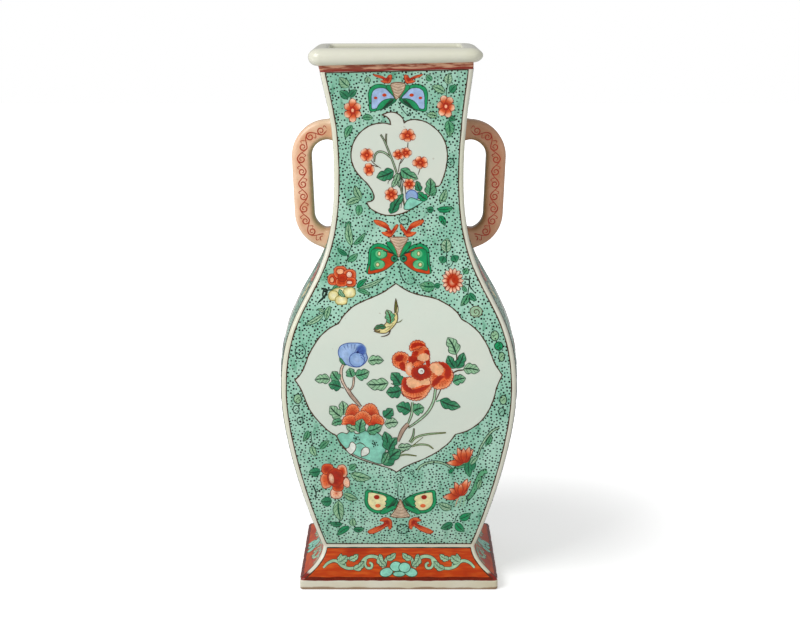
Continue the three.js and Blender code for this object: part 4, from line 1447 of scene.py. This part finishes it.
# vines and twigs: course, width, tone and, for some, an outline
stems = {
    "ground": [
        ([(448, 84.4), (446.6, 90), (446.4, 96)], 0.9, "leafInk"),
        ([(349, 87), (349.4, 93), (350.4, 99)], 0.9, "leafInk"),
        ([(351.6, 246), (349.4, 252), (346, 264)], 0.9, "leafInk"),
        ([(446.6, 252), (446.6, 262), (449.4, 270)], 0.9, "leafInk"),
        ([(446.6, 256.5), (444.6, 257)], 0.9, "leafInk"),
        ([(448.4, 268), (452.4, 264), (453.4, 256)], 0.9, "leafInk"),
        ([(399, 264.6), (401.2, 276), (406, 282.8), (411.4, 284.2), (414.8, 281.4), (413.6, 277.6),
          (411, 278.6)], 0.9, "leafInk"),
        ([(398.2, 101.6), (401.4, 108), (405.6, 113.4), (409.4, 116), (411, 114), (409.4, 112.2)], 0.9,
         "leafInk"), ([(321.2, 288.6), (326.4, 290), (325.2, 295.6), (317.8, 303)], 2.5, "twig"),
        ([(324.4, 289), (322.8, 294), (323.2, 297.6)], 1.9, "twig"),
        ([(326.2, 290.4), (333.6, 289.2), (341, 284)], 1.7, "twig"),
        ([(463.6, 279), (469, 280), (469.8, 286), (474.4, 292.4)], 1.5, "twig"),
        ([(469.8, 275.4), (469.6, 280)], 1.3, "twig"), ([(463, 283.6), (469.6, 285.4)], 1, "twig"),
        ([(469.4, 284), (468, 294), (470, 302), (474, 307)], 1.1, "leafInk"),
        ([(313.2, 485.4), (315.9, 492.8), (315.6, 500)], 1.5, "twig"),
        ([(316, 492), (321.6, 489.6)], 1.2, "twig"),
        ([(337.6, 499), (340, 504), (341.8, 508)], 1, "leafInk"),
        ([(341.2, 519.6), (338, 522.6), (335, 523.4)], 0.8, "leafInk"),
        ([(499.4, 427.4), (492, 431.4), (486, 438.6), (481, 447), (477.4, 456.6)], 3.2, "leafWan", "leafInk"),
        ([(417.6, 470), (421, 466), (428, 462.9), (437.1, 462), (446, 464.6), (452.8, 469.6)], 3.2,
         "leafWan", "leafInk"),
        ([(487, 470.8), (481.6, 473.6), (477.4, 482), (473.4, 491.6), (467, 500.4)], 6.4, "leaf", "leafInk"),
        ([(402.6, 471.6), (405.6, 469.2), (409, 468.4)], 0.8, "leafInk"),
        ([(454.6, 523), (456, 518), (458.6, 514)], 0.9, "leafInk"),
        ([(398.6, 500), (397.6, 492), (398.4, 484)], 0.9, "leafInk"),
        ([(402.4, 500), (405, 492), (402.8, 484)], 0.9, "leafInk"),
        ([(311, 431), (311.4, 439), (313.4, 447)], 0.9, "leafInk"),
        ([(313, 448), (320, 449)], 0.8, "leafInk"),
    ],
    "leafPanel": [
        ([(380.6, 134.6), (384.4, 141), (390.6, 156), (396, 171), (401, 189), (404.4, 206)], 2.4, "leafWan",
         "line"), ([(386.4, 133.6), (386, 138), (386.4, 145)], 2, "leafWan", "line"),
        ([(391.3, 158), (384.6, 152.8), (378.6, 151.8), (375, 155.4), (374.2, 162)], 2.6, "leafWan", "line"),
        ([(398.4, 172), (399.6, 164), (402.6, 157.6)], 0.9, "line"),
        ([(400.4, 163.6), (404.4, 158)], 0.8, "line"), ([(408, 142.6), (407.4, 150)], 0.9, "line"),
        ([(420, 169), (418, 175)], 0.8, "line"), ([(370, 158.4), (374, 163.6), (381, 168.4)], 0.9, "line"),
        ([(372, 165), (378, 167)], 0.8, "line"), ([(398, 173), (389, 181), (388, 184)], 0.8, "line"),
        ([(399, 173), (404, 183), (406, 196)], 1, "line"),
        ([(400, 172), (402.4, 188), (401, 208)], 1, "leafInk"),
    ],
    "flowerPanel": [
        ([(343.9, 363.4), (341.2, 370.3), (341.8, 379.5), (346.2, 388.4), (350.4, 394.6)], 3.4, "blushDull",
         "line"), ([(354, 376.8), (352.9, 386), (349.8, 391)], 2.6, "blushDull", "line"),
        ([(340.8, 387.4), (344, 388.4)], 1, "line"),
        ([(346.6, 388.4), (351.4, 395.7), (356.4, 401.6), (361, 407)], 4.6, "bark", "line"),
        ([(412.3, 402.4), (411.9, 412.7), (410, 419), (407.4, 425)], 3.2, "leafWan", "line"),
        ([(435.6, 388.6), (433.4, 401.6), (427.4, 412.6), (418, 421.2), (408.2, 428)], 3.4, "leafWan",
         "line"), ([(440.8, 389.6), (437.6, 396.6), (436, 400.4)], 1.2, "line"),
        ([(436, 401.6), (441, 400.2)], 1.4, "leaf"),
        ([(408, 424), (402.4, 431), (397.8, 441.6)], 5, "bark", "line"),
        ([(391, 383.6), (396, 386), (400.4, 390)], 1, "line"), ([(404, 396.6), (400.6, 392)], 1, "line"),
        ([(455.6, 368), (456.8, 360), (456.4, 353)], 1.4, "bark", "line"),
        ([(453, 373), (457.6, 370.8), (464, 370)], 1.6, "bark", "line"),
        ([(409.5, 442.3), (413, 436), (414, 428.4)], 2.6, "leafPale", "line"),
        ([(410.8, 443), (416, 437.6), (427, 434.4), (446, 432.8)], 2.4, "leafWan", "olive"),
        ([(412, 446.4), (420, 444.6), (428, 445.4), (433.4, 449)], 2.2, "leafWan", "olive"),
        ([(386.6, 465.2), (396, 457.6), (405, 454.8), (416.6, 456)], 2, "leafWan", "olive"),
        ([(390.2, 462.6), (400, 454), (411.4, 446.6), (423, 437.4)], 1, "olive"),
    ],
}

# ringed leaves like coins: x, y, rx, ry and, for some, a filling
coins = [
    (404, 220, 5, 4.4), (450.5, 163, 3.6, 4.4), (300.3, 352.3, 5.2, 6.4), (494.8, 335.9, 4, 5, "leafPale"),
    (498.7, 346.2, 4.2, 4.2, "green"), (501.7, 356.9, 3, 4.6, "leafPale"),
    (503.3, 400, 3.4, 4.6, "leafPale"), (297.6, 399, 3.8, 4.8, "leafPale"), (296, 409.6, 3, 4.2),
    (402.7, 529.1, 6, 4.6), (300, 421, 3, 3.8), (501.6, 412, 3, 4),
]

# small flowers of the leaf-shaped panel: x, y, rx, ry, petals
panelFlowers = [
    (407.6, 135.4, 8.6, 6.6, 5), (366.8, 155, 7, 6.8, 4), (368.9, 169.6, 5.6, 6.6, 4),
    (398.6, 154.6, 6.2, 5.4, 5), (405.6, 152.8, 6.4, 5.4, 5), (420.4, 162.6, 8.4, 6.2, 5),
    (391.3, 194.6, 7, 7.4, 6), (409.2, 184.2, 6.2, 6, 6),
]


def drawLeaves(face, names, layer=2, lobes=0, edge="leafLine"):
    face.kind = "leaves"
    for name in names:
        for i, (x0, y0, x1, y1, width, tone) in enumerate(sprigs[name]):
            bend = 0.06 if i % 2 else -0.06
            face.leaf(x0, y0, x1, y1, 1.12 * width, tone, layer + 0.3 * (i % 3), bend, lobes, edge)


def drawStems(face, name, layer=2):
    face.kind = "stems"
    for course, width, tone, *edge in stems[name]:
        face.stroke(course, width, tone, layer, (0.85, 0.6), *edge)


def drawCoins(face):
    for x, y, rx, ry, *filling in coins:
        face.kind, face.anchor = "leaves", (x, y)
        if filling:
            face.disc(x, y, rx, ry, *filling, 1, None)
        face.kind = "stems"
        face.stroke(ellipse(x, y, rx, ry, 0, 12), 0.9, "leafInk", 3, closed=True)
        bar = [(x - rx * 0.5, y + ry * 0.35), (x, y - ry * 0.1), (x + rx * 0.5, y - ry * 0.35)]
        face.stroke(bar, 0.8, "leafInk", 3)
        face.anchor = None


def leafPanelPicture(face):
    drawStems(face, "leafPanel", 2)
    drawLeaves(face, ["leafPanel"], 3, 2, "leafInk")
    face.kind = "creatures"
    face.disc(411.7, 196.4, 6.4, 6.8, [(0, "bluePale"), (1, "blue")], 4, "blueLine")
    base = [(403.6, 209), (406.2, 201), (411, 197.4), (419, 200), (423.4, 201.6), (418, 205.4), (410, 209.6)]
    face.patch(base, "rock", 5, "leafLine")
    for i, (x, y, rx, ry, count) in enumerate(panelFlowers):
        rosette(face, x, y, rx, ry, count, 20 + 31 * i, "redWarm", 1.3)


rockShape = [
    (337.1, 435), (341.6, 432.3), (347, 433.2), (350.5, 429.2), (355.9, 433.2), (359.5, 432.8), (363, 430.1),
    (368.4, 431.4), (370.2, 434.1), (376.4, 432.3), (381.8, 435.9), (384.5, 440.4), (383.6, 445.7),
    (386.3, 450.2), (382.7, 457.3), (381.6, 464.2), (374.6, 463.2), (365.7, 460), (356.8, 456.6),
    (347.9, 451), (341, 444), (337.4, 438),
]


rockHoles = [
    [(345.6, 449.6), (348.6, 446.8), (350, 443), (352.5, 441.6), (355.8, 444.4), (356.2, 448.5), (354, 452.5),
     (350.4, 454.6)],
    [(361.4, 456.6), (360.8, 451.5), (363, 447.8), (366, 446.8), (369.2, 448.5), (369.7, 452.5),
     (367, 455.4)],
]


def rock(face):
    face.kind = "creatures"
    face.patch(rockShape, [(0, "rock"), (0.8, "rock"), (1, "rockDeep")], 3, "line", (362, 446))
    for hole in rockHoles:
        face.patch(hole, "white", 4, "line")
    face.stroke([(355.6, 444.8), (359.4, 443), (363, 444), (365.8, 446.8)], 1.1, "line", 5)
    face.stroke([(361.6, 456), (361.6, 460.4)], 1.1, "line", 5, smooth=False)
    for x, y in ((355.9, 438.4), (374.4, 443.9)):
        for k in range(9):
            a = 2.4 * k
            r = 0.5 + 0.38 * k
            face.disc(x + r * math.cos(a), y + r * math.sin(a), 0.7, 0.9, "leafInk", 5, None)


def bird(face):
    face.kind = "creatures"
    face.leaf(395.4, 316, 395.8, 298, 3.6, "olive", 4, 0.02, 0, "line", 0)
    face.leaf(396.6, 315, 397.6, 304.6, 2.4, "cream", 5, 0.02, 0, "line", 0)
    breast = [(392.4, 315.6), (395.4, 312.2), (397.8, 314.6), (397.8, 320.4), (394.6, 326), (390.2, 330.6),
              (385.6, 333.6), (379, 333.4), (374, 331.4), (377.4, 328), (383, 325.6), (388, 320)]
    face.patch(breast, [(0, "cream"), (1, "yellowDeep")], 5, "line")
    face.leaf(390.4, 324, 386.6, 309.6, 9.6, "leaf", 6, 0.1, 3, "line")
    face.leaf(386.4, 327.4, 373.2, 329.6, 5.4, "leafDark", 6, 0.12, 2, "line")
    for x, y in ((388.4, 326.6), (391.2, 323.4), (393.4, 319.8)):
        face.stroke([(x - 2.6, y + 1.2), (x, y), (x + 1.8, y + 0.2)], 0.6, "olive", 7)
    face.stroke([(379.8, 331.8), (375.6, 331), (373.6, 331.4)], 1.2, "line", 7, (0.9, 0.3))
    leg = [(390.4, 330.4), (388.4, 334.4), (384.6, 336.2), (380.8, 336.8)]
    face.stroke(leg, 1.3, "olive", 6, (0.9, 0.3), "line")
    face.stroke([(396.8, 322.6), (400, 321.8), (402.4, 319.6)], 1.0, "olive", 6, (0.9, 0.3))
    face.disc(379.6, 331, 0.6, 0.6, "line", 8, None)
    face.stroke([(384.6, 331.2), (389.4, 328.4), (393.6, 323.4)], 0.5, "olive", 7)


def flowerPanelPicture(face):
    drawStems(face, "flowerPanel", 2)
    rock(face)
    bird(face)
    drawLeaves(face, ["flowerPanel"], 3, 2, "leafInk")
    paintPetals(face, peonies["half"])
    drawLeaves(face, ["rockside"], 12, 2, "leafInk")
    paintPetals(face, peonies["big"])
    face.disc(421.2, 371.2, 3.8, 3.6, [(0, "white"), (0.8, "white"), (1, "blush")], 18, "redDark")
    face.spiral(421.4, 371.2, 1.5, 0.9, 2.0, "redDark", 0.6, 1, 19)
    paintBluePeony(face)


# how the width of a drawn line wavers: depth, a quick and a slow wave, and the coat it lies in
waver = {"round": (0.22, 0.9, 0.23, 1), "foot": (0.25, 0.7, 0.19, 2)}


def fineLine(face, path, width, tone, kind, start=0):
    depth, quick, slow, layer = waver[kind]
    normal = leftOf(headingRound(path) if kind == "round" else np.gradient(path, axis=0))
    if kind == "round":
        path, normal = (np.vstack([v, v[:1]]) for v in (path, normal))
    steps = np.arange(len(path))
    wobble = 1 + depth * np.sin(steps * quick + start) * np.sin(steps * slow)
    s = np.array((-1, 0, 1))
    place = path[:, None] + normal[:, None] * (0.5 * width * wobble)[:, None, None] * s[None, :, None]
    lift = np.tile(markLift(layer) - coats["rimDrop"] * np.abs(s), (len(path), 1))
    paint = np.tile(face.tone(tone), (len(path), 3, 1))
    face.mark(place, lift, gridFaces(len(path), 3), paint, np.ones(lift.shape), placed=True)


# thin dark lines round the ground and its openings
def drawEdges(face, holes):
    face.kind = "lines"
    fineLine(face, groundEdge(face.side), panels["line"], "line", "round")
    for hole in holes:
        fineLine(face, hole, panels["holeLine"], "line", "round")


# a plain sheet of enamel on one face between two heights, its sides set in from the corners
def enamelSheet(face, name, low, high, inset, material):
    z = np.concatenate([[low], np.linspace(low + 0.3 * mm, high - 0.3 * mm, 14), [high]])
    half = halfSizes(z)[face.side % 2] - inset
    share = np.concatenate([[-1], np.linspace(-0.994, 0.994, 70), [1]])
    place = np.stack([half[:, None] * share[None], np.tile(z[:, None], (1, len(share)))], -1)
    lift = np.full(place.shape[:2], coats["ground"])
    lift[[0, -1]] = lift[:, [0, -1]] = -coats["sunkEdge"]
    points = onFace(face.side, *place.reshape(-1, 2).T, lift.ravel())
    settle(meshObject(f"{face.name}_{name}", points, gridFaces(*lift.shape).tolist(), material))


footPaint = {
    "low": 5.9 * mm,
    "high": 19.3 * mm,
    "inset": 2.5 * mm,
    "vines": [
        ([(323.4, 568), (327.5, 563.6), (333, 561), (338, 562), (342, 566), (348, 568.6), (355, 568.4)], 2.6),
        ([(354, 569.6), (360, 564.6), (365, 559), (370, 556.6), (376, 557.2), (380.4, 561), (383.4, 568)],
         2.8),
        ([(385.4, 567), (385.6, 561), (388.6, 557.4), (394, 555)], 2.6),
        ([(345.6, 566), (344.4, 562), (346.4, 559), (349.6, 558.6), (351.2, 561)], 1.9),
        ([(366.4, 559.6), (365, 564), (367, 568), (371, 568.2), (372, 564.6), (369.4, 562.8)], 1.9),
    ],
    "leaves": [(338, 562.6, 347, 555.6, 7.4), (349, 560, 358.6, 554.2, 5.6), (353.6, 570, 364, 561.4, 6.4),
               (378.4, 556.6, 386.4, 567, 6.8), (386, 559.6, 396, 553, 5.6), (337.6, 560, 341.6, 553.4, 3.6),
               (381, 560, 379, 554, 3.4)],
    "peony": [
        (386.4, 572.6, 7.0, 4.8, -14), (410.8, 572.6, 7.0, 4.8, 14), (396, 566.8, 6.4, 5.4, 0),
        (404.6, 567.8, 6.2, 5.4, 0), (399, 574.4, 6.4, 3.0, 0),
    ],
}


def paintFoot(face):
    low, high, inset, middle = footPaint["low"], footPaint["high"], footPaint["inset"], view["middleColumn"]
    enamelSheet(face, "foot_red", low, high, inset, ironRed)
    held, face.anchor, face.kind = face.scale, (middle, 566), "foot_scroll"
    face.scale = np.array((0.72 if face.side % 2 else 1.0, 1.0))
    for way in (1, -1):
        for course, width in footPaint["vines"]:
            course = mirrored(course, middle, way)
            face.stroke(course, width + 1.7, "twig", 1, (0.6, 0.8))
            face.stroke(course, width + 0.5, "leafWan", 2, (0.6, 0.8))
        for x0, y0, x1, y1, width in footPaint["leaves"]:
            (x0, y0), (x1, y1) = mirrored([(x0, y0), (x1, y1)], middle, way)
            face.leaf(x0, y0, x1, y1, width + 1.2, "leafWan", 3, 0.12 * way, 2, "leafInk", 0.7)
    for i, (x, y, rx, ry, turn) in enumerate(footPaint["peony"]):
        face.disc(x, y, rx, ry, [(0, "rock"), (0.7, "rock"), (1, "rockPale")], 5 + 0.8 * i, "leafLine", turn)
    face.anchor, face.scale, face.kind = None, held, "foot_lines"
    for z, width, tone in ((low + 0.2 * mm, 1.0 * mm, "redDark"), (high, 0.6 * mm, "twig")):
        half = halfSizes(z)[face.side % 2] - inset
        s = np.linspace(-half, half, 60)
        fineLine(face, np.stack([s, s * 0 + z], 1), width, tone, "foot", face.side)
    z = np.linspace(low, high, 24)
    half = halfSizes(z)[face.side % 2] - inset
    for way in (-1, 1):
        fineLine(face, np.stack([way * half, z], 1), 0.45 * mm, "line", "foot", face.side)


# between the handle's roots the ends carry a small spray in place of the leaf panel
def endSpray(face):
    for x, y, r, count in ((399, 160, 9.5, 6), (389, 186, 6.5, 5), (409, 136, 6.5, 5)):
        rosette(face, x, y, r, r, count, 12)
    face.kind = "leaves"
    for *course, width, tone in (
        (404, 172, 414, 186, 7, "leafDark"), (392, 150, 382, 138, 7, "leaf"),
        (393, 172, 380, 172, 6.5, "leafPale"), (406, 150, 419, 152, 6.5, "leafDark"),
        (396, 194, 402, 206, 6, "leaf"), (402, 128, 396, 117, 6, "leafPale"),
    ):
        face.leaf(*course, width, tone, 2)


# the ends carry the front's painting drawn closer together: spread of places, size of marks and of the panel
ends = {"spread": 0.705, "mark": (0.8, 0.92), "picture": (0.69, 0.86)}
pictures = {"leafPanel": (399, 165), "flowerPanel": (399, 380)}

# the tones that the large flowers change on the right end and the back
otherTones = {
    "red": "blueDeep",
    "redDeep": "blueDeep",
    "redWarm": "blue",
    "orange": "bluePale",
    "salmon": "blueWan",
    "salmonPale": "blueWan",
    "blush": "white",
    "redLine": "blueLine",
    "redDark": "blueInk",
    "bluePale": "salmon",
    "blue": "redWarm",
    "blueDeep": "redDeep",
    "blueLine": "redLine",
}


def paintFace(name, side):
    isEnd = side % 2 == 1
    spread, markScale = (ends["spread"], ends["mark"]) if isEnd else (1.0, (1.0, 1.0))
    face = Face(name, side, side > 1, spread, markScale)
    markScale, pictureScale = face.scale, np.array(ends["picture"] if isEnd else (1.0, 1.0))
    holes, face.scale = [], pictureScale
    for panel, centre in pictures.items():
        if isEnd and panel == "leafPanel":
            continue
        face.anchor = centre
        hole = face.place(panelOutline(openings[panel]))
        holes.append(hole if signedArea(hole) > 0 else hole[::-1])
    face.anchor, face.scale = None, markScale
    sowSpecks(face, paintGround(face, holes))
    drawEdges(face, holes)
    face.scale, face.anchor = pictureScale, pictures["flowerPanel"]
    face.swap = otherTones if side in (1, 2) else {}
    flowerPanelPicture(face)
    face.swap, face.anchor = {}, pictures["leafPanel"]
    if not isEnd:
        leafPanelPicture(face)
    face.scale, face.anchor = markScale, None
    drawStems(face, "ground", 1)
    drawLeaves(face, ["top", "neck", "shoulder", "sides", "lower"], 2)
    drawCoins(face)
    rosette(face, 352.6, 110.4, 8.8, 12.0, 6, 30)
    rosette(face, 445.9, 106.4, 9.0, 11.6, 6, 10)
    daisy(face, 452.7, 280.8, 10.9, 12.8, 14)
    bloom(face, flowers["clusterFlower"], (342, 277))
    bloom(face, flowers["yellowFlower"], (342, 296), "yellowLine", 0)
    face.kind, face.anchor = "leaves", (342, 296)
    face.leaf(339, 289.4, 345.4, 297.4, 4.6, "leafPale", 9, 0.1, 2, "leafLine")
    face.anchor = None
    bloom(face, flowers["leftFlower"], (334, 481))
    for base, tips in lotuses.items():
        lotus(face, base, tips)
    face.kind = "leaves"
    face.leaf(468.6, 460.6, 469.6, 477.6, 8.4, "leafDark", 3, 0.04, 0, "leafLine")
    face.leaf(470.6, 464.6, 478.6, 456.4, 6.6, "leafPale", 3, -0.1, 0, "leafLine")
    face.kind = "stems"
    for x, y, tone in lotusThreads:
        face.stroke([(0.6 * x + 186.4, 495.6), (x + 1.6, 501), (x, y)], 1.2, tone, 3, (1, 0.3))
    face.kind, face.anchor = "leaves", (476, 312)
    face.disc(476.1, 311.8, 6.6, 5.8, "leafWan", 3, "line")
    face.kind = "stems"
    face.spiral(476.1, 312.2, 4.2, 1.3, 0.4, "line", 0.9, 1, 5)
    face.anchor = None
    for x, y, r in ((411.8, 472.4, 3.0), (399.2, 478.6, 4.4), (409.6, 114.6, 2.0)):
        face.kind, face.anchor = "stems", (x, y)
        face.spiral(x, y, r, 1.6, 1.0, "leafInk", 0.8, -1, 3)
        face.anchor = None
    for spec in butterflies.values():
        butterfly(face, spec)
    if isEnd:
        endSpray(face)
    paintFoot(face)
    face.build()


for side, name in enumerate(("front", "right", "back", "left")):
    paintFace(name, side)
    print("stage: painted", name)


# handles: a rounded square band swept round two bends, its roots let into the neck
handle = {
    "span": 56.4 * mm,
    "top": 242.8 * mm,
    "bottom": 184.9 * mm,
    "band": 10.4 * mm,
    "thickness": 10.6 * mm,
    "edge": 2.6 * mm,
    "bend": 14.0 * mm,
    "lean": 1.1 * mm,
    "root": 30.5 * mm,
    "curls": 11,
    "curl": 2.1 * mm,
    "swell": 0.6 * mm,         # glaze pooled where the root meets the neck
}


def handlePath():
    outer = handle["span"] - handle["band"] / 2
    top, bottom, bend, lean = handle["top"], handle["bottom"], handle["bend"], handle["lean"]
    points = [(x, top) for x in np.linspace(handle["root"], outer - bend, 8)]
    for a in np.linspace(0, math.pi / 2, 14)[1:]:
        points.append((outer - bend + bend * math.sin(a), top - bend + bend * math.cos(a)))
    for t in np.linspace(0, 1, 22)[1:-1]:
        points.append((outer - lean * t, top - bend + (bottom - top + 2 * bend) * t))
    for a in np.linspace(0, math.pi / 2, 14):
        points.append((outer - lean - bend + bend * math.cos(a), bottom + bend - bend * math.sin(a)))
    points += [(x, bottom) for x in np.linspace(outer - lean - bend, handle["root"], 8)[1:]]
    return np.array(points)


def handleSection(swell):
    w, d, r = handle["thickness"] / 2 + swell, handle["band"] / 2 + swell, handle["edge"]
    loop = []
    for k, (cx, cy) in enumerate(((w - r, d - r), (r - w, d - r), (r - w, r - d), (w - r, r - d))):
        for a in np.linspace(0, math.pi / 2, 6):
            b = a + k * math.pi / 2
            loop.append((cx + r * math.cos(b), cy + r * math.sin(b)))
    return np.array(loop)


def makeHandle(name, way):
    path = handlePath()
    outward = leftOf(np.gradient(path, axis=0))
    if outward[len(path) // 2][0] < 0:
        outward = -outward
    run = np.concatenate([[0], np.cumsum(np.linalg.norm(np.diff(path, axis=0), axis=1))])
    points, around = [], []
    for (x, z), (ox, oz) in zip(path, outward):
        neck = halfSizes(z)[0]
        swell = handle["swell"] * float(smoothStep(neck + 3.4 * mm, neck - 0.6 * mm, x))
        for u, v in handleSection(swell):
            points.append((way * (x + ox * v), way * u, z + oz * v))
            around.append(v / handle["band"] * 2)
    piece = meshObject(f"{name}_glazed", points, tubeFaces(len(path), len(handleSection(0))), salmon)
    mesh, centre = piece.data, Vector(np.mean(points, axis=0))
    if sum(p.area * (p.center - centre).dot(p.normal) for p in mesh.polygons) < 0:
        mesh.flip_normals()
    pointValues(piece, "outward", around)
    settle(piece, [name])
    scrollOnHandle(name, way, path, outward, run)


# the iron-red scroll on the front and back of each handle: a curl to either side in turn
def scrollOnHandle(name, way, path, outward, run):
    curls, reach = handle["curls"], handle["curl"]
    points, faces = [], []

    # a place on the handle: t along its run, v outwards
    def at(t, v):
        x, z, ox, oz = (np.interp(t, run, values) for values in (*path.T, *outward.T))
        return np.stack([x + ox * v, z + oz * v], 1)

    start = float(np.interp(37.5 * mm, path[: len(path) // 2, 0], run[: len(path) // 2]))
    gap = (run[-1] - 2 * start) / curls
    hook, turn = np.linspace(0, 1, 7), np.linspace(0, 2.5 * math.pi, 24)[1:]
    shrink = reach * (1 - 0.74 * turn / turn[-1])
    for facing in (-1, 1):
        for k in range(curls):
            middle, side = start + gap * (k + 0.5), 1 if k % 2 else -1
            u = np.linspace(0.15 if k else 0.5, 1, 12)
            t = np.concatenate([middle - gap * (1 - u), middle + shrink * np.sin(turn) * 0.95])
            v = np.concatenate([-side * reach * np.cos(math.pi * u), side * shrink * np.cos(turn)])
            aside = -side * reach * (0.2 + 0.9 * np.sin(hook * 2.6))
            twig = (middle - gap * (0.5 - 0.3 * hook), aside, 0.5 * mm)
            for along, across, width in ((t, v, 0.68 * mm), twig):
                line = at(along, across)
                normal = leftOf(np.gradient(line, axis=0))
                half = 0.5 * width * (0.45 + 0.55 * np.sin(math.pi * np.linspace(0.08, 0.95, len(line))))
                quads = len(points) + gridFaces(len(line), 3)
                faces += (quads if facing * way > 0 else quads[:, ::-1]).tolist()
                for (x, z), (nx, nz), h in zip(line, normal, half):
                    for s, lift in ((-1, 0.01 * mm), (0, 0.05 * mm), (1, 0.01 * mm)):
                        y = facing * (handle["thickness"] / 2 + lift)
                        points.append((way * (x + nx * h * s), y, z + nz * h * s))
    settle(meshObject(f"{name}_scroll", points, faces, scrollRed))


for name, way in (("handle_right", 1), ("handle_left", -1)):
    makeHandle(name, way)
print("stage: handles")


# soft studio light from the upper left, pale floor that takes the shadow
studio = {
    "key": {"place": (-0.95, -0.75, 1.05), "size": (0.9, 0.9), "power": 16.0, "aim": (0, 0, 0.15)},
    "fill": {"place": (1.1, -1.1, 0.55), "size": (1.4, 1.2), "power": 2.7, "aim": (0, 0, 0.14)},
    "world": 0.42,
    "floorSize": 3.0,
    "floorGlow": 0.42,
}


def addLamp(name, spec):
    data = bpy.data.lights.new(name, "AREA")
    data.shape = "RECTANGLE"
    data.size, data.size_y = spec["size"]
    data.energy = spec["power"]
    lamp = addObject(name, data)
    lamp.location = spec["place"]
    lamp.rotation_euler = (Vector(spec["aim"]) - Vector(spec["place"])).to_track_quat("-Z", "Y").to_euler()


def lightStudio():
    scene = bpy.context.scene
    scene.view_settings.view_transform = "Standard"
    addLamp("key", studio["key"])
    addLamp("fill", studio["fill"])
    world = bpy.data.worlds.new("studio")
    scene.world = world
    world.use_nodes = True
    w = Wire(world.node_tree)
    seen = w.node("ShaderNodeLightPath", output="Is Camera Ray")
    background = world.node_tree.nodes["Background"]
    background.inputs["Color"].default_value = (1, 1, 1, 1)
    strength = seen.maths("MAXIMUM", seen, studio["world"])
    world.node_tree.links.new(strength.socket, background.inputs["Strength"])


def pourFloor():
    half = studio["floorSize"]
    corners = [(-half, -half, 0), (half, -half, 0), (half, half, 0), (-half, half, 0)]
    material, w, shader = newMaterial("paleFloor")
    shader.inputs["Base Color"].default_value = (0.86, 0.86, 0.86, 1)
    shader.inputs["Roughness"].default_value = 0.7
    shader.inputs["Specular IOR Level"].default_value = 0.1
    seen = w.node("ShaderNodeLightPath", output="Is Camera Ray")
    away = w.node("ShaderNodeVectorMath", {"operation": "LENGTH"}, {0: objectPlace(w)}, 1)
    glow = away.ramp(0.10, 0.34, studio["floorGlow"], 1.0) * seen
    feed(w.mix(glow, (0, 0, 0, 1), (1, 1, 1, 1)), shader, "Emission Color")
    shader.inputs["Emission Strength"].default_value = 1.0
    floor = meshObject("floor", corners, [(0, 1, 2, 3)], material, smooth=False)


lightStudio()
pourFloor()
print("stage: studio")
